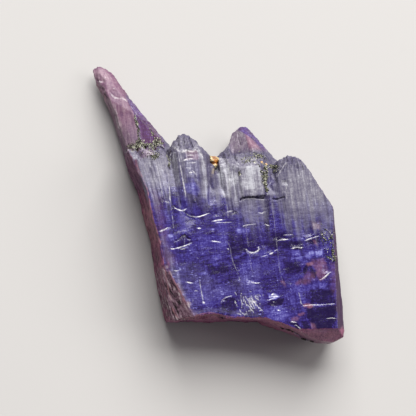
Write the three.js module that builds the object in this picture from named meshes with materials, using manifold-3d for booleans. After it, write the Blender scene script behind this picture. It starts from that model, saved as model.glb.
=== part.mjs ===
// Tanzanite crystal: a flat cluster of columns that grew side by side, lying on its back.
// Millimetres. +Z up from the rest face, +Y along the growth axis towards the terminations,
// +X to the right of the broad front face.
import * as THREE from 'three';
import { ConvexGeometry } from 'three/addons/geometries/ConvexGeometry.js';
import { mergeVertices } from 'three/addons/utils/BufferGeometryUtils.js';
import Module from 'manifold-3d';

const wasm = await Module();
wasm.setup();

// ---------- driving dimensions ----------
const FRONT = 6.15; // height of the broad front face above the rest face
const BACK_ROW = 3.4; // height of the back row of crystals
const ROOT_Y = -14; // columns start below the broken base and are trimmed to it
const SIDE_BEVEL = 0.16; // width of the bevel along each side of a column
const BEVEL_DROP = 0.24; // depth of that bevel
const CUTTER = 60; // edge of the block that trims a corner
const FOOT_HEIGHT = 0.9; // height of the bevel along the foot of the left side
const FOOT_INSET = 0.28; // how far that bevel sets the rest face in
const GAP = 0.03; // clearance between the crystal and the minerals seated on it
const WELD = 1e-4; // distance under which corners are one corner
const SEAM_THICKNESS = 0.6; // thickness of a crust's seam, as a share of its half width
const SEAM_STEP = 0.25; // distance between the points that a seam follows
const LUMP_SIZE = 0.72; // radius of a crust's lumps, as a share of its half width
const SPREAD = 1.5; // width over which the lumps scatter, as a share of the half width
const DOWN = new THREE.Vector3(0, 0, -1); // onto the front
const INTO_BASE = new THREE.Vector3(0, 1, 0); // onto the broken base

// ---------- solids ----------
function toSolid(geometry) {
  const bare = geometry.index ? geometry.clone() : geometry;
  bare.deleteAttribute('normal');
  bare.deleteAttribute('uv');
  const merged = mergeVertices(bare, WELD);
  return new wasm.Manifold(new wasm.Mesh({
    numProp: 3,
    vertProperties: new Float32Array(merged.attributes.position.array),
    triVerts: new Uint32Array(merged.index.array),
  }));
}

function toGeometry(solid) {
  const mesh = solid.getMesh();
  const geometry = new THREE.BufferGeometry();
  geometry.setAttribute('position', new THREE.BufferAttribute(new Float32Array(mesh.vertProperties), 3));
  geometry.setIndex(new THREE.BufferAttribute(new Uint32Array(mesh.triVerts), 1));
  geometry.computeVertexNormals();
  return geometry;
}

function hull(corners) {
  return toSolid(new ConvexGeometry(corners.map((corner) => new THREE.Vector3(...corner))));
}

function join(solids) {
  return solids.reduce((whole, solid) => whole.add(solid));
}

// The largest of a solid's separate shells, without loose slivers and sealed voids.
function mainShell(solid) {
  const shells = solid.decompose();
  return shells.reduce((largest, shell) => (shell.volume() > largest.volume() ? shell : largest));
}

// A repeatable value from 0 to 1 for each whole number.
function scatter(n) {
  const value = Math.sin(n * 12.9898 + 4.1) * 43758.5453;
  return value - Math.floor(value);
}

// ---------- growth columns ----------
// One cross-section of a column at height y: flat front, a bevel on each side, flat back.
function columnSection({ y, left, right, front, back = 0, bevel = SIDE_BEVEL, drop = BEVEL_DROP }) {
  return [
    [left, y, back],
    [left, y, front - drop],
    [left + bevel, y, front],
    [right - bevel, y, front],
    [right, y, front - drop],
    [right, y, back],
  ];
}

// A column with straight sides that lean by `lean` mm sideways for each mm of height. Its front
// is `rootFront` high at the root and `front` high at the `shoulder`, where it slopes back to a
// ridge at height `peak` and depth `peakZ`. Behind the ridge it falls away to `backTop`.
function column({
  left, right, lean = 0, root = ROOT_Y, front = FRONT, rootFront = front,
  shoulder, peak, peakZ, ridge = 0.3, backTop, back = 0, bevel, drop,
}) {
  const sectionAt = (y, z) => columnSection({
    y, left: left + lean * y, right: right + lean * y, front: z, back, bevel, drop,
  });
  const halfRidge = (ridge * (right - left)) / 2;
  const peakX = (left + right) / 2 + lean * peak;
  const crest = [
    [peakX - halfRidge, peak, peakZ],
    [peakX + halfRidge, peak, peakZ],
    [left + lean * backTop, backTop, back],
    [right + lean * backTop, backTop, back],
  ];
  return hull([...sectionAt(root, rootFront), ...sectionAt(shoulder, front), ...crest]);
}

// The slab that all the columns share.
function body() {
  return hull([
    [-6.6, ROOT_Y, 0], [10, ROOT_Y, 0], [10, 1.5, 0], [-6.9, 3, 0],
    [-6.6, ROOT_Y, FRONT], [10, ROOT_Y, FRONT], [9.8, -0.6, FRONT - 0.1], [0, 0.6, FRONT - 0.1],
    [-5.2, -3.4, FRONT], [-6.9, 3, 5.0], [0, 2.4, 5.4], [9.8, -0.6, 5.4],
  ]);
}

// Pale columns at the far left, whose fronts sink towards the top and fade into the slab below.
function leftColumns() {
  const shared = { lean: -0.11, rootFront: FRONT - 0.05, peakZ: 3.7, backTop: 4.6, drop: 0.14 };
  return join([
    column({
      ...shared, left: -7.6, right: -6.5, lean: -0.03, root: -1, rootFront: 5.9, front: 5.2,
      shoulder: 4.9, peak: 5.8, drop: 0.3,
    }),
    column({ ...shared, left: -6.62, right: -5.98, root: -7.5, front: 5.46, shoulder: 4.6, peak: 6.0 }),
    column({
      ...shared, left: -6.05, right: -5.3, root: -4.5, front: 5.33, shoulder: 5.2, peak: 6.1,
      ridge: 0.1,
    }),
    column({ ...shared, left: -5.4, right: -4.5, root: -6.5, front: 5.46, shoulder: 4.9, peak: 6.0 }),
    column({ ...shared, left: -4.6, right: -3.7, root: -3.5, front: 5.42, shoulder: 4.6, peak: 5.8 }),
  ]);
}

// The tall fang: a broad shaft with a ridge down its front and a rough tip above it.
function fang() {
  const root = columnSection({ y: -9.8, left: -6, right: -2, front: BACK_ROW });
  const shaftFoot = [
    [-7.35, 5, 0.8], [-7.2, 5, 2.8], [-6.1, 5, 3.6], [-3.4, 5, 2.5], [-2.75, 5, 1.0],
    [-3.2, 5, 0], [-7.0, 5, 0],
  ];
  const shaftTop = [
    [-7.98, 9, 0.9], [-7.8, 9, 2.5], [-6.4, 9, 3.0], [-5.6, 9, 1.9], [-5.33, 9, 0.9],
    [-5.6, 9, 0.1], [-7.7, 9, 0.1],
  ];
  const neck = [
    [-8.4, 10.4, 0.9], [-8.2, 10.4, 2.4], [-6.95, 10.5, 2.5], [-6.28, 10.4, 1.2],
    [-6.4, 10.4, 0.4], [-8.2, 10.4, 0.3],
  ];
  const tip = [
    [-9.06, 12.3, 0.9], [-9.2, 13.4, 1.0], [-8.7, 13.7, 1.2], [-8.3, 13.5, 1.25],
    [-7.55, 12.95, 1.15], [-7.05, 12.1, 1.1], [-8.5, 12.6, 1.8],
  ];
  return join([hull([...root, ...shaftFoot]), hull([...shaftFoot, ...shaftTop]),
    hull([...shaftTop, ...neck]), hull([...neck, ...tip])]);
}

// A rounded crest: its height at each of a few evenly spaced x, falling off from `top`.
function crestPoints({ from, to, top, middle, fall, z }) {
  const steps = 6;
  const points = [];
  for (let i = 0; i <= steps; i += 1) {
    const x = from + ((to - from) * i) / steps;
    points.push([x, top - fall * (x - middle) ** 2, z]);
  }
  return points;
}

const DOME_CREST = { from: -3.85, to: -0.75, top: 6.52, middle: -2.55, fall: 0.65, z: 4.4 };
const BLOCK_CREST = { from: 5.45, to: 7.55, top: 3.46, middle: 6.4, fall: 0.38, z: 4.8 };

// The dome column: a faceted shaft that fades into the slab, under a rounded crest.
function domeColumn() {
  const shaft = hull([
    [-3.75, -0.3, FRONT - 0.05], [-3.3, -0.8, FRONT - 0.05], [-2.6, -1.2, FRONT - 0.05],
    [-1.5, -1.0, FRONT - 0.05], [-3.7, -0.7, 3], [-1.0, -1.1, 3],
    [-4.2, 4.3, 5.2], [-3.5, 4.75, 6.3], [-2.5, 4.95, 6.4], [-1.65, 4.75, 6.36],
    [-0.95, 4.3, 5.95], [-0.55, 4.1, 5.1], [-4.1, 4.3, 0.4], [-0.5, 4.0, 0.4],
  ]);
  const crown = hull([
    ...crestPoints(DOME_CREST),
    [-4.15, 4.3, 5.2], [-3.5, 4.75, 6.3], [-2.5, 4.95, 6.4], [-1.65, 4.75, 6.36],
    [-0.95, 4.3, 5.95], [-0.4, 4.1, 4.6], [-4.1, 4.2, 2.0], [-3.4, 5.0, 1.8], [-1.4, 4.8, 1.6],
    [-0.5, 4.0, 2.0], [-3.8, 2.5, 0.3], [-0.8, 2.5, 0.3],
  ]);
  return shaft.add(crown);
}

// The sunken columns of the notch between the dome and the central block.
function notchColumns() {
  const shared = { backTop: 2.9, peakZ: 4.3, drop: 0.12 };
  return join([
    column({ ...shared, left: -0.95, right: -0.4, front: 5.85, shoulder: 3.2, peak: 3.9 }),
    column({ ...shared, left: -0.45, right: 0.15, front: 5.75, shoulder: 2.5, peak: 3.2 }),
  ]);
}

// The central block: narrow columns beside one broad raised facet that stops at a ledge.
function centralBlock() {
  const shared = { peakZ: 4.3, backTop: 2.6, drop: 0.12 };
  return join([
    column({ ...shared, left: 0.05, right: 0.8, front: 6.02, shoulder: 3.1, peak: 4.2 }),
    column({ ...shared, left: 0.7, right: 1.15, front: 6.12, shoulder: 3.3, peak: 4.4 }),
    column({ ...shared, left: 1.1, right: 1.65, front: 6.18, shoulder: 3.0, peak: 4.3 }),
    column({
      ...shared, left: 1.55, right: 3.68, root: 0.05, front: 6.32, shoulder: 2.75, peak: 4.15, ridge: 0.7,
      bevel: 0.1,
    }),
    column({ ...shared, left: 2.6, right: 4.4, front: 5.75, shoulder: 2.6, peak: 3.9 }),
  ]);
}

// The second peak, which stands behind the central block and leans on a low neighbour.
function backPeak() {
  const peak = hull([
    [1.2, 1, 0], [6.2, 1, 0], [1.2, 1, 3.6], [6.2, 1, 3.4],
    [1.55, 4.4, 0.5], [1.6, 4.6, 2.2], [5.75, 3.35, 2.2], [5.9, 3.1, 0.4],
    [2.22, 6.15, 1.7], [2.9, 6.7, 2.0], [3.55, 6.65, 2.0], [3.5, 4.3, 4.3], [3.3, 5.9, 2.9],
    [2.7, 5.9, 0.8], [4.0, 5.2, 0.5],
  ]);
  const neighbour = hull([
    [0.1, 0, 0], [2.4, 0, 0], [0.1, 0, 3.6], [2.4, 0, 3.8],
    [0.5, 4.25, 2.0], [1.3, 4.7, 2.8], [1.85, 5.3, 2.3], [2.2, 4.9, 1.2], [0.6, 3.6, 0.3],
    [1.4, 4.2, 3.9],
  ]);
  return peak.add(neighbour);
}

// The right block: a low column beside the hollow, then one broad fluted block.
function rightBlock() {
  const low = column({
    left: 4.25, right: 5.05, lean: 0.03, front: 5.98, shoulder: 0.9, peak: 2.8, peakZ: 4.2,
    backTop: 1.9, drop: 0.12,
  });
  const main = hull([
    ...columnSection({ y: ROOT_Y, left: 4.7, right: 10, front: FRONT }),
    ...crestPoints(BLOCK_CREST),
    [4.9, 1.4, 6.1], [5.9, 2.4, 6.24], [6.9, 2.5, 6.24], [7.5, 2.2, 6.2], [9.6, -1.6, 6.15],
    [4.9, 2.7, 4.3], [4.9, 2.2, 0.6], [7.3, 2.4, 0.6], [9.6, -1.6, 0.6],
  ]);
  return low.add(main);
}

// ---------- ribs and flutes ----------
// A strip along the growth axis: it follows `path`, a list of [y, z], at a slant of `lean` mm
// sideways for each mm of height. With `rise` above zero it is a rib that stands on the
// surface, and below zero it is the wedge that cuts a groove into it.
function strip({ x, lean = 0, path, halfWidth, rise }) {
  const outside = rise < 0 ? 0.3 : -0.15;
  const spread = halfWidth * (1 + Math.abs(outside / rise));
  const sections = path.map(([y, z], i) => {
    const [beforeY, beforeZ] = path[Math.max(i - 1, 0)];
    const [afterY, afterZ] = path[Math.min(i + 1, path.length - 1)];
    const along = new THREE.Vector2(beforeY - afterY, afterZ - beforeZ).normalize();
    const [normalY, normalZ] = [Math.abs(along.y), Math.abs(along.x)];
    const middle = x + lean * y;
    return [
      [middle, y + normalY * rise, z + normalZ * rise],
      [middle - spread, y + normalY * outside, z + normalZ * outside],
      [middle + spread, y + normalY * outside, z + normalZ * outside],
    ];
  });
  const pieces = [];
  for (let i = 1; i < sections.length; i += 1) {
    pieces.push(hull([...sections[i - 1], ...sections[i]]));
  }
  return join(pieces);
}

// Flutes down a rounded crown: they start behind its crest and run out on its front.
function crownGrooves(crest, rim, positions, depth) {
  return positions.map((x, i) => {
    const crestY = crest.top - crest.fall * (x - crest.middle) ** 2;
    const runOut = rim.y - 1.2 - 1.6 * scatter(i + 3 * crest.top);
    const behind = [crestY - 0.5, crest.z - 1.2];
    const fadeOut = [runOut, rim.z + depth * 0.9];
    return strip({
      x,
      path: [behind, [crestY, crest.z], [rim.y, rim.z], fadeOut],
      halfWidth: 0.17,
      rise: -depth,
    });
  });
}

function flutes() {
  return [
    ...crownGrooves(DOME_CREST, { y: 4.9, z: 6.38 }, [-3.3, -2.75, -2.15, -1.6, -1.15], 0.2),
    ...crownGrooves(BLOCK_CREST, { y: 2.5, z: 6.24 }, [5.75, 6.1, 6.45, 6.8, 7.15, 7.45], 0.16),
  ];
}

// Low ribs on the fronts of the columns, which run out downwards at uneven heights.
function ribs() {
  const rows = [
    { from: -6.2, to: -4.0, count: 7, lean: -0.11, top: 4.4, front: 5.8, taper: -0.085, run: 7 },
    { from: -3.3, to: -1.2, count: 4, lean: -0.01, top: 4.2, front: 6.28, taper: 0.012, run: 4.5 },
    { from: 0.3, to: 1.5, count: 4, lean: 0.0, top: 2.7, front: 6.1, taper: 0, run: 6 },
    { from: 5.2, to: 9.0, count: 10, lean: 0.03, top: 1.6, front: 6.19, taper: 0.004, run: 6 },
  ];
  return rows.flatMap((row, k) => {
    const strips = [];
    for (let i = 0; i < row.count; i += 1) {
      const x = row.from + ((row.to - row.from) * (i + 0.6 * scatter(9 * k + i))) / row.count;
      const start = row.top - 1.5 * scatter(5 * k + i + 0.5);
      const finish = start - row.run * (0.35 + 0.6 * scatter(7 * k + i + 0.2));
      strips.push(strip({
        x, lean: row.lean, rise: 0.05 + 0.03 * scatter(i + k), halfWidth: 0.09,
        path: [[start, row.front + row.taper * start], [finish, row.front + row.taper * finish - 0.06]],
      }));
    }
    return strips;
  });
}

// ---------- trimming ----------
// The two sides of the block, seen from the front, from the base up.
const LEFT_SIDE = [
  [-5.75, -9.6], [-5.95, -8.3], [-6.1, -6.9], [-6.2, -4.7], [-6.12, -2.3], [-6.38, -0.9],
  [-6.5, 0.6], [-6.6, 1.8], [-6.9, 2.9], [-7.15, 3.7], [-7.35, 4.6], [-7.45, 5.4],
];
const RIGHT_SIDE = [
  [9.1, -12.4], [9.2, -10.2], [9.35, -8.0], [9.5, -5.7], [9.6, -4.0], [9.5, -3.65], [9.69, -3.3],
  [9.69, -1.3],
];

// The outline that the broken base and the two sides keep, seen from the front.
function outlineSolid() {
  const above = [[-12, 7], [-12, 16], [12, 16], [12, 2]];
  const base = [
    [8.85, -13.0], [8.1, -13.3], [7, -13.1], [5.8, -12.55], [4.6, -11.75], [3.4, -11.1],
    [2.2, -10.55], [0, -10.2], [-2.7, -9.9], [-4.4, -9.7],
  ];
  const outline = [...LEFT_SIDE, ...above, ...RIGHT_SIDE.toReversed(), ...base];
  const shape = new THREE.Shape(outline.map(([x, y]) => new THREE.Vector2(x, y)));
  const geometry = new THREE.ExtrudeGeometry(shape, { depth: 9, bevelEnabled: false });
  geometry.translate(0, 0, -1);
  return toSolid(geometry);
}

// A block whose face lies in the plane through three corners; it fills the side of the plane
// that `outward` points to.
function cornerBlock(a, b, c, outward) {
  const plane = new THREE.Plane().setFromCoplanarPoints(
    new THREE.Vector3(...a), new THREE.Vector3(...b), new THREE.Vector3(...c),
  );
  const normal = plane.normal.clone();
  if (normal.dot(new THREE.Vector3(...outward)) < 0) normal.negate();
  const geometry = new THREE.BoxGeometry(CUTTER, CUTTER, CUTTER);
  geometry.translate(0, 0, CUTTER / 2);
  geometry.applyQuaternion(new THREE.Quaternion().setFromUnitVectors(new THREE.Vector3(0, 0, 1), normal));
  geometry.translate(...a);
  return toSolid(geometry);
}

// Facets that cut the edges of the block.
function edgeFacets() {
  return [
    cornerBlock([-6.1, -4.3, FRONT], [-4.15, -9.25, FRONT], [-5.7, -9.5, 4.9], [-1, -1, 1]),
    cornerBlock([3.9, -11.75, FRONT], [8.7, -12.25, FRONT], [7, -13.2, 4.7], [0, -1, 1]),
    cornerBlock([9.15, -4.4, FRONT], [8.35, -12.5, FRONT], [9.15, -12.4, 4.9], [1, 0, 1]),
    cornerBlock([7.4, 2.6, 6], [9.23, -1.29, 6], [7.7, 2.8, 0], [1, 1, 0]),
    cornerBlock([9.36, -2.4, 6.1], [9.0, -10.2, 6.1], [9.69, -2.4, 4.2], [1, 0, 0]),
    cornerBlock([9.5, -9, 0.8], [9.8, 0, 0.8], [8.8, -9, 0], [1, 0, -1]),
    cornerBlock([-5, -9.9, 0.7], [3, -11.1, 0.7], [-5, -9.3, 0], [0, -1, -1]),
  ];
}

// The bevel along the foot of the left side, which turns in to the rest face.
function leftFoot() {
  const sections = LEFT_SIDE.map(([x, y]) => [
    [x, y, FOOT_HEIGHT], [x + FOOT_INSET, y, 0], [x + FOOT_INSET, y, -1],
    [x - 1, y, -1], [x - 1, y, FOOT_HEIGHT],
  ]);
  return sections.slice(1).map((section, i) => hull([...sections[i], ...section]));
}

// ---------- chips, pits and cracks ----------
// A flattened ball that scoops a shell-shaped chip or pit. `tilt` leans it so that its lower
// edge bites and its upper edge runs out.
function scoop({ at, radii, turn = 0, tilt = 0 }) {
  const geometry = new THREE.SphereGeometry(1, 10, 6);
  geometry.scale(...radii);
  geometry.rotateX(tilt);
  geometry.rotateZ(turn);
  geometry.translate(...at);
  return toSolid(geometry);
}

// A thin wedge that opens a crack along a line of [x, y] points. It is `width` wide at the
// height z and reaches `depth` below it.
function crack(points, z, width, depth) {
  const wedges = [];
  for (let i = 1; i < points.length; i += 1) {
    const [[x0, y0], [x1, y1]] = [points[i - 1], points[i]];
    const side = new THREE.Vector2(y0 - y1, x1 - x0).setLength(width / 2);
    wedges.push(hull([
      [x0 - side.x, y0 - side.y, z], [x0 + side.x, y0 + side.y, z], [x0, y0, z - depth],
      [x1 - side.x, y1 - side.y, z], [x1 + side.x, y1 + side.y, z], [x1, y1, z - depth],
    ]));
  }
  return join(wedges);
}

// A crescent chip on the front face, `width` wide, that bites along its lower edge and runs
// out above it.
function crescent(x, y, width, { z = FRONT, turn = 0, tall = 0.6 } = {}) {
  return scoop({ at: [x, y + tall * 0.9, z + 0.13], radii: [width / 2, tall, 0.14], tilt: 0.3, turn });
}

// Fine growth lines that cross the front, each a short shallow step.
function growthLines() {
  const count = 16;
  const lines = [];
  for (let i = 0; i < count; i += 1) {
    const x = -5 + 12.5 * scatter(i + 60);
    const y = -2.2 - 7 * ((i + scatter(i + 70)) / count);
    const length = 0.9 + 1.5 * scatter(i + 80);
    const slant = 0.25 * (scatter(i + 90) - 0.35);
    const line = [[x, y], [x + length / 2, y - 0.08], [x + length, y + slant]];
    lines.push(crack(line, FRONT + 0.3, 0.2, 0.38));
  }
  return lines;
}

// Grooves along a side wall, at several heights, that part its columns. `inward` is +1 on the
// left wall and -1 on the right.
function wallGrooves(wall, heights, inward) {
  return heights.flatMap((height, k) => {
    const depth = 0.12 + 0.16 * scatter(k + 100);
    const half = 0.16 + 0.1 * scatter(k + 110);
    const first = Math.floor(2.5 * scatter(k + 120));
    const run = wall.slice(first, wall.length - Math.floor(2.5 * scatter(k + 130)));
    const sections = run.map(([x, y], i) => {
      const z = height + 0.04 * (y + 5) * (scatter(k + 140) - 0.5) + 0.04 * scatter(i + k);
      return [[x + depth * inward, y, z], [x - inward, y, z - half * 4], [x - inward, y, z + half * 4]];
    });
    return sections.slice(1).map((section, i) => hull([...sections[i], ...section]));
  });
}

function frontDamage() {
  const open = FRONT + 0.4;
  const domeFoot = FRONT + 0.06;
  const breakLine = [
    [-0.8, -2.95], [-0.35, -3.36], [-0.08, -3.95], [-0.1, -4.7], [0.08, -5.45], [0.38, -6.95],
  ];
  return [
    scoop({ at: [-1.25, -8.84, FRONT + 0.1], radii: [0.5, 0.42, 0.4] }),
    scoop({ at: [3.2, -9.35, FRONT + 0.1], radii: [0.5, 0.25, 0.4], turn: -0.3 }),
    scoop({ at: [-4.03, -2.5, FRONT + 0.1], radii: [0.35, 0.2, 0.35], turn: 0.3 }),
    crescent(-2.4, -1.05, 2.2, { z: domeFoot, turn: 0.04 }),
    crescent(-3.95, -0.35, 1.2, { z: FRONT - 0.12, turn: -0.1 }),
    crescent(1.85, -4.75, 1.4),
    crescent(-5.3, -1.75, 1.1, { z: FRONT - 0.28, turn: 0.3 }),
    crescent(-4.1, -3.6, 1.7, { z: FRONT - 0.06, turn: 0.28 }),
    crescent(-0.9, -1.15, 1.1, { turn: 0.05 }),
    crescent(7.9, -7.35, 1.0, { turn: 0.7 }),
    crescent(6.9, -3.95, 1.3, { turn: 0.25 }),
    crescent(3.2, -4.9, 1.4, { turn: 0.3 }),
    crescent(4.6, -3.85, 1.0),
    crescent(1.3, -7.3, 1.0),
    crescent(5.7, -4.75, 1.2),
    scoop({ at: [5.4, 0.95, FRONT + 0.22], radii: [0.45, 0.35, 0.3] }),
    crack([[1.35, -0.02], [1.9, 0.08], [2.9, 0.0], [3.5, -0.1]], open, 0.2, 0.9),
    crack([[4.2, -0.37], [4.8, -0.39], [5.15, -0.3]], open, 0.14, 0.62),
    crack(breakLine, FRONT + 0.3, 0.2, 0.42),
    ...growthLines(),
  ];
}

// Rough hollows in the fang's tip and in the broken base.
function endDamage() {
  return [
    scoop({ at: [-7.6, 11.5, 2.75], radii: [0.55, 0.7, 0.6], turn: 0.4 }),
    scoop({ at: [-8.6, 12.4, 2.15], radii: [0.35, 0.6, 0.5], turn: 0.2 }),
    scoop({ at: [-8.6, 11.4, 2.6], radii: [0.3, 0.4, 0.4] }),
    scoop({ at: [-3.4, -9.95, 5.2], radii: [2.6, 0.5, 1.7] }),
    scoop({ at: [-3.5, -10.1, 2.2], radii: [1.4, 0.35, 1.2] }),
    scoop({ at: [0.8, -10.75, 2.6], radii: [1.6, 0.5, 1.3] }),
    scoop({ at: [4.6, -12.1, 3.4], radii: [1.2, 0.5, 1.1], turn: -0.5 }),
    scoop({ at: [6.6, -13.3, 2.2], radii: [1.5, 0.35, 1.2], turn: -0.4 }),
  ];
}

// Shallow grooves that part the columns on the rest face.
function backGrooves() {
  const starts = [-4.4, -2.1, 0.5, 3.3, 6.8];
  return starts.map((x, i) => {
    const width = 0.25 + 0.25 * scatter(i + 20);
    const depth = 0.15 + 0.2 * scatter(i + 30);
    const slant = 0.6 * (scatter(i + 40) - 0.5);
    return hull([
      [x - width, -12.5, -1], [x + width, -12.5, -1], [x, -12.5, depth * 0.4],
      [x + slant - width, 5, -1], [x + slant + width, 5, -1], [x + slant, 5, depth],
    ]);
  });
}

// ---------- the crystal ----------
function crystalSolid() {
  const columns = join([
    body(), leftColumns(), fang(), domeColumn(), notchColumns(), centralBlock(), backPeak(),
    rightBlock(), ...ribs(),
  ]);
  const trimmed = columns.intersect(outlineSolid());
  const cuts = [
    ...edgeFacets(), ...leftFoot(), ...flutes(), ...frontDamage(), ...endDamage(), ...backGrooves(),
    ...wallGrooves(LEFT_SIDE, [1.1, 1.9, 2.7, 3.6, 4.4], 1),
    ...wallGrooves(RIGHT_SIDE, [1.3, 2.5, 3.4, 4.6], -1),
  ];
  return mainShell(trimmed.subtract(join(cuts)));
}

// ---------- minerals seated on the crystal ----------
function lump(center, size, seed) {
  const geometry = new THREE.IcosahedronGeometry(1, 0);
  const stretch = [0, 0.3, 0.6].map((shift) => 0.75 + 0.5 * scatter(seed + shift));
  geometry.scale(...stretch.map((value) => value * size));
  geometry.rotateX(6 * scatter(seed + 0.1));
  geometry.rotateY(6 * scatter(seed + 0.2));
  geometry.translate(...center);
  return toSolid(geometry);
}

// What is left of a solid once the crystal, and a clearance over it, is cut away. The solid
// rests on the crystal in the direction of `toward`.
function seatedOn(crystal, solid, toward) {
  const clearance = toward.clone().multiplyScalar(-GAP).toArray();
  return mainShell(solid.subtract(crystal).subtract(crystal.translate(clearance)));
}

// Finds where a place lands on a solid, when it is pressed against it in the direction `toward`.
function landingOn(solid, toward) {
  const mesh = new THREE.Mesh(toGeometry(solid));
  const caster = new THREE.Raycaster();
  return (place) => {
    caster.set(place.clone().addScaledVector(toward, -CUTTER), toward);
    const [hit] = caster.intersectObject(mesh);
    return hit ? hit.point : place;
  };
}

// One thin seam of a crust, laid along points on the crystal.
function seamPieces(points, halfWidth, seed) {
  const sections = points.map(({ x, y, z }, i) => {
    const reach = halfWidth * (0.5 + 0.4 * scatter(seed + i));
    const thickness = halfWidth * SEAM_THICKNESS;
    return [
      [x - reach, y, z], [x + reach, y, z], [x, y - reach, z], [x, y + reach, z],
      [x, y, z + thickness], [x, y, z - thickness],
    ];
  });
  return sections.slice(1).map((section, i) => hull([...sections[i], ...section]));
}

// A granular crust: seams that meet, crowded with lumps. Each follows the surface under it.
function crustSolid(crystal, { seams, lumps, seed, toward = DOWN }) {
  const land = landingOn(crystal, toward);
  const solids = seams.flatMap(({ halfWidth, path }, k) => {
    const curve = new THREE.CatmullRomCurve3(path.map(([x, y, z = 0]) => new THREE.Vector3(x, y, z)));
    const points = curve.getSpacedPoints(Math.ceil(curve.getLength() / SEAM_STEP)).map(land);
    const pieces = seamPieces(points, halfWidth, seed + 5 * k);
    const share = Math.round(lumps / seams.length);
    for (let i = 0; i < share; i += 1) {
      const n = seed + i + 17 * k;
      const shift = new THREE.Vector3(scatter(n + 0.7), scatter(n), scatter(n + 0.5)).subScalar(0.5);
      const place = land(curve.getPointAt((i + 0.5) / share).addScaledVector(shift, halfWidth * SPREAD));
      pieces.push(lump(place.toArray(), halfWidth * LUMP_SIZE * (0.7 + 0.6 * scatter(2 * n)), n));
    }
    return pieces;
  });
  return seatedOn(crystal, join(solids), toward);
}

function grainSolid(crystal) {
  const core = lump([-0.2, 3.8, 4.75], 0.5, 7);
  const knob = lump([-0.45, 3.98, 4.9], 0.3, 9);
  const tail = lump([-0.2, 3.3, 4.9], 0.3, 12);
  return seatedOn(crystal, join([core, knob, tail]), DOWN);
}

// ---------- materials ----------
const tanzanite = new THREE.MeshStandardMaterial({ color: 0x4a3f92, roughness: 0.25, metalness: 0 });
const crustMaterial = new THREE.MeshStandardMaterial({ color: 0x8d8f80, roughness: 0.9, metalness: 0 });
const rustMaterial = new THREE.MeshStandardMaterial({ color: 0xa96a2a, roughness: 0.8, metalness: 0 });

function namedMesh(name, solid, material) {
  const mesh = new THREE.Mesh(toGeometry(solid), material);
  mesh.name = name;
  return mesh;
}

// ---------- assembly ----------
const crystal = crystalSolid();
const crusts = {
  fang_foot_crust: {
    seams: [
      {
        halfWidth: 0.26,
        path: [[-7.0, 5.85], [-6.5, 5.75], [-6.1, 5.9], [-5.5, 5.85], [-4.9, 5.95], [-4.4, 5.9], [-4.1, 5.6]],
      },
      { halfWidth: 0.15, path: [[-6.2, 5.9], [-6.17, 6.8], [-6.15, 7.3], [-6.2, 7.8], [-6.3, 8.65]] },
    ],
    lumps: 30, seed: 11,
  },
  hollow_crust: {
    seams: [
      {
        halfWidth: 0.22,
        path: [[3.8, 3.75], [4.2, 3.3], [4.2, 2.7], [3.9, 2.1], [3.8, 1.5], [3.85, 0.9], [3.85, 0.4]],
      },
      { halfWidth: 0.2, path: [[4.2, 2.8], [4.8, 2.7], [5.2, 2.5]] },
    ],
    lumps: 24, seed: 51,
  },
  right_edge_crust: {
    seams: [{ halfWidth: 0.2, path: [[8.45, -3.5], [8.85, -3.9], [8.95, -4.6], [8.85, -5.4], [8.65, -6.4]] }],
    lumps: 12, seed: 91,
  },
  base_crust: {
    seams: [{ halfWidth: 0.26, path: [[3.9, -12, 3.6], [4.8, -12, 3.3], [5.6, -12, 3.1], [6.6, -12, 3.3]] }],
    lumps: 12, seed: 121, toward: INTO_BASE,
  },
};

const group = new THREE.Group();
group.add(namedMesh('tanzanite_crystal', crystal, tanzanite));
for (const [name, crust] of Object.entries(crusts)) {
  group.add(namedMesh(name, crustSolid(crystal, crust), crustMaterial));
}
group.add(namedMesh('rust_stained_grain', grainSolid(crystal), rustMaterial));

// The origin is the middle of the box around the whole piece, on the rest face.
const box = new THREE.Box3().setFromObject(group);
const middle = box.getCenter(new THREE.Vector3());
group.position.set(-middle.x, -middle.y, -box.min.z);

export default group;
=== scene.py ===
import math

import bmesh
import bpy
import numpy as np
from mathutils import Matrix, Vector
from mathutils.bvhtree import BVHTree


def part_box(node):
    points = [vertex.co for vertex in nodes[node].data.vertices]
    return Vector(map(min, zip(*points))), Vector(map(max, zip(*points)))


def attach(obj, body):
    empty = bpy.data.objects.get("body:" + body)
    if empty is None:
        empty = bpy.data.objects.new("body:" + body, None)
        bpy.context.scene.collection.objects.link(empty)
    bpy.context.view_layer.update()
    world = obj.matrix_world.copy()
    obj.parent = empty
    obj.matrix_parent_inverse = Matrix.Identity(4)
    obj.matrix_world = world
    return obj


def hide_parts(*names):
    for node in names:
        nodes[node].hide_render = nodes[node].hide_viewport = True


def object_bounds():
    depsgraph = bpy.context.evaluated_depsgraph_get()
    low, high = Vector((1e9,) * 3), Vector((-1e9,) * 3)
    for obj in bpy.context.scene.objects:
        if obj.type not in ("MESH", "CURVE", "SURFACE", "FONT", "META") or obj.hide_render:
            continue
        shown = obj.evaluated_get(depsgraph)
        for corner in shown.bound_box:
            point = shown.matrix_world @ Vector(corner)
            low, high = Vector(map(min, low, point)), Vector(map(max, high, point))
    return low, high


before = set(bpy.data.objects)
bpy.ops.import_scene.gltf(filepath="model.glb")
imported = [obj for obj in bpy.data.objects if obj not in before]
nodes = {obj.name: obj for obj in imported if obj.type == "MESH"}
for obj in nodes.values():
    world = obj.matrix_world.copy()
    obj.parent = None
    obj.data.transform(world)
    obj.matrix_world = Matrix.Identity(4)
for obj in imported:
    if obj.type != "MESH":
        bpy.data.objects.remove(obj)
cad_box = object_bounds()


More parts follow.
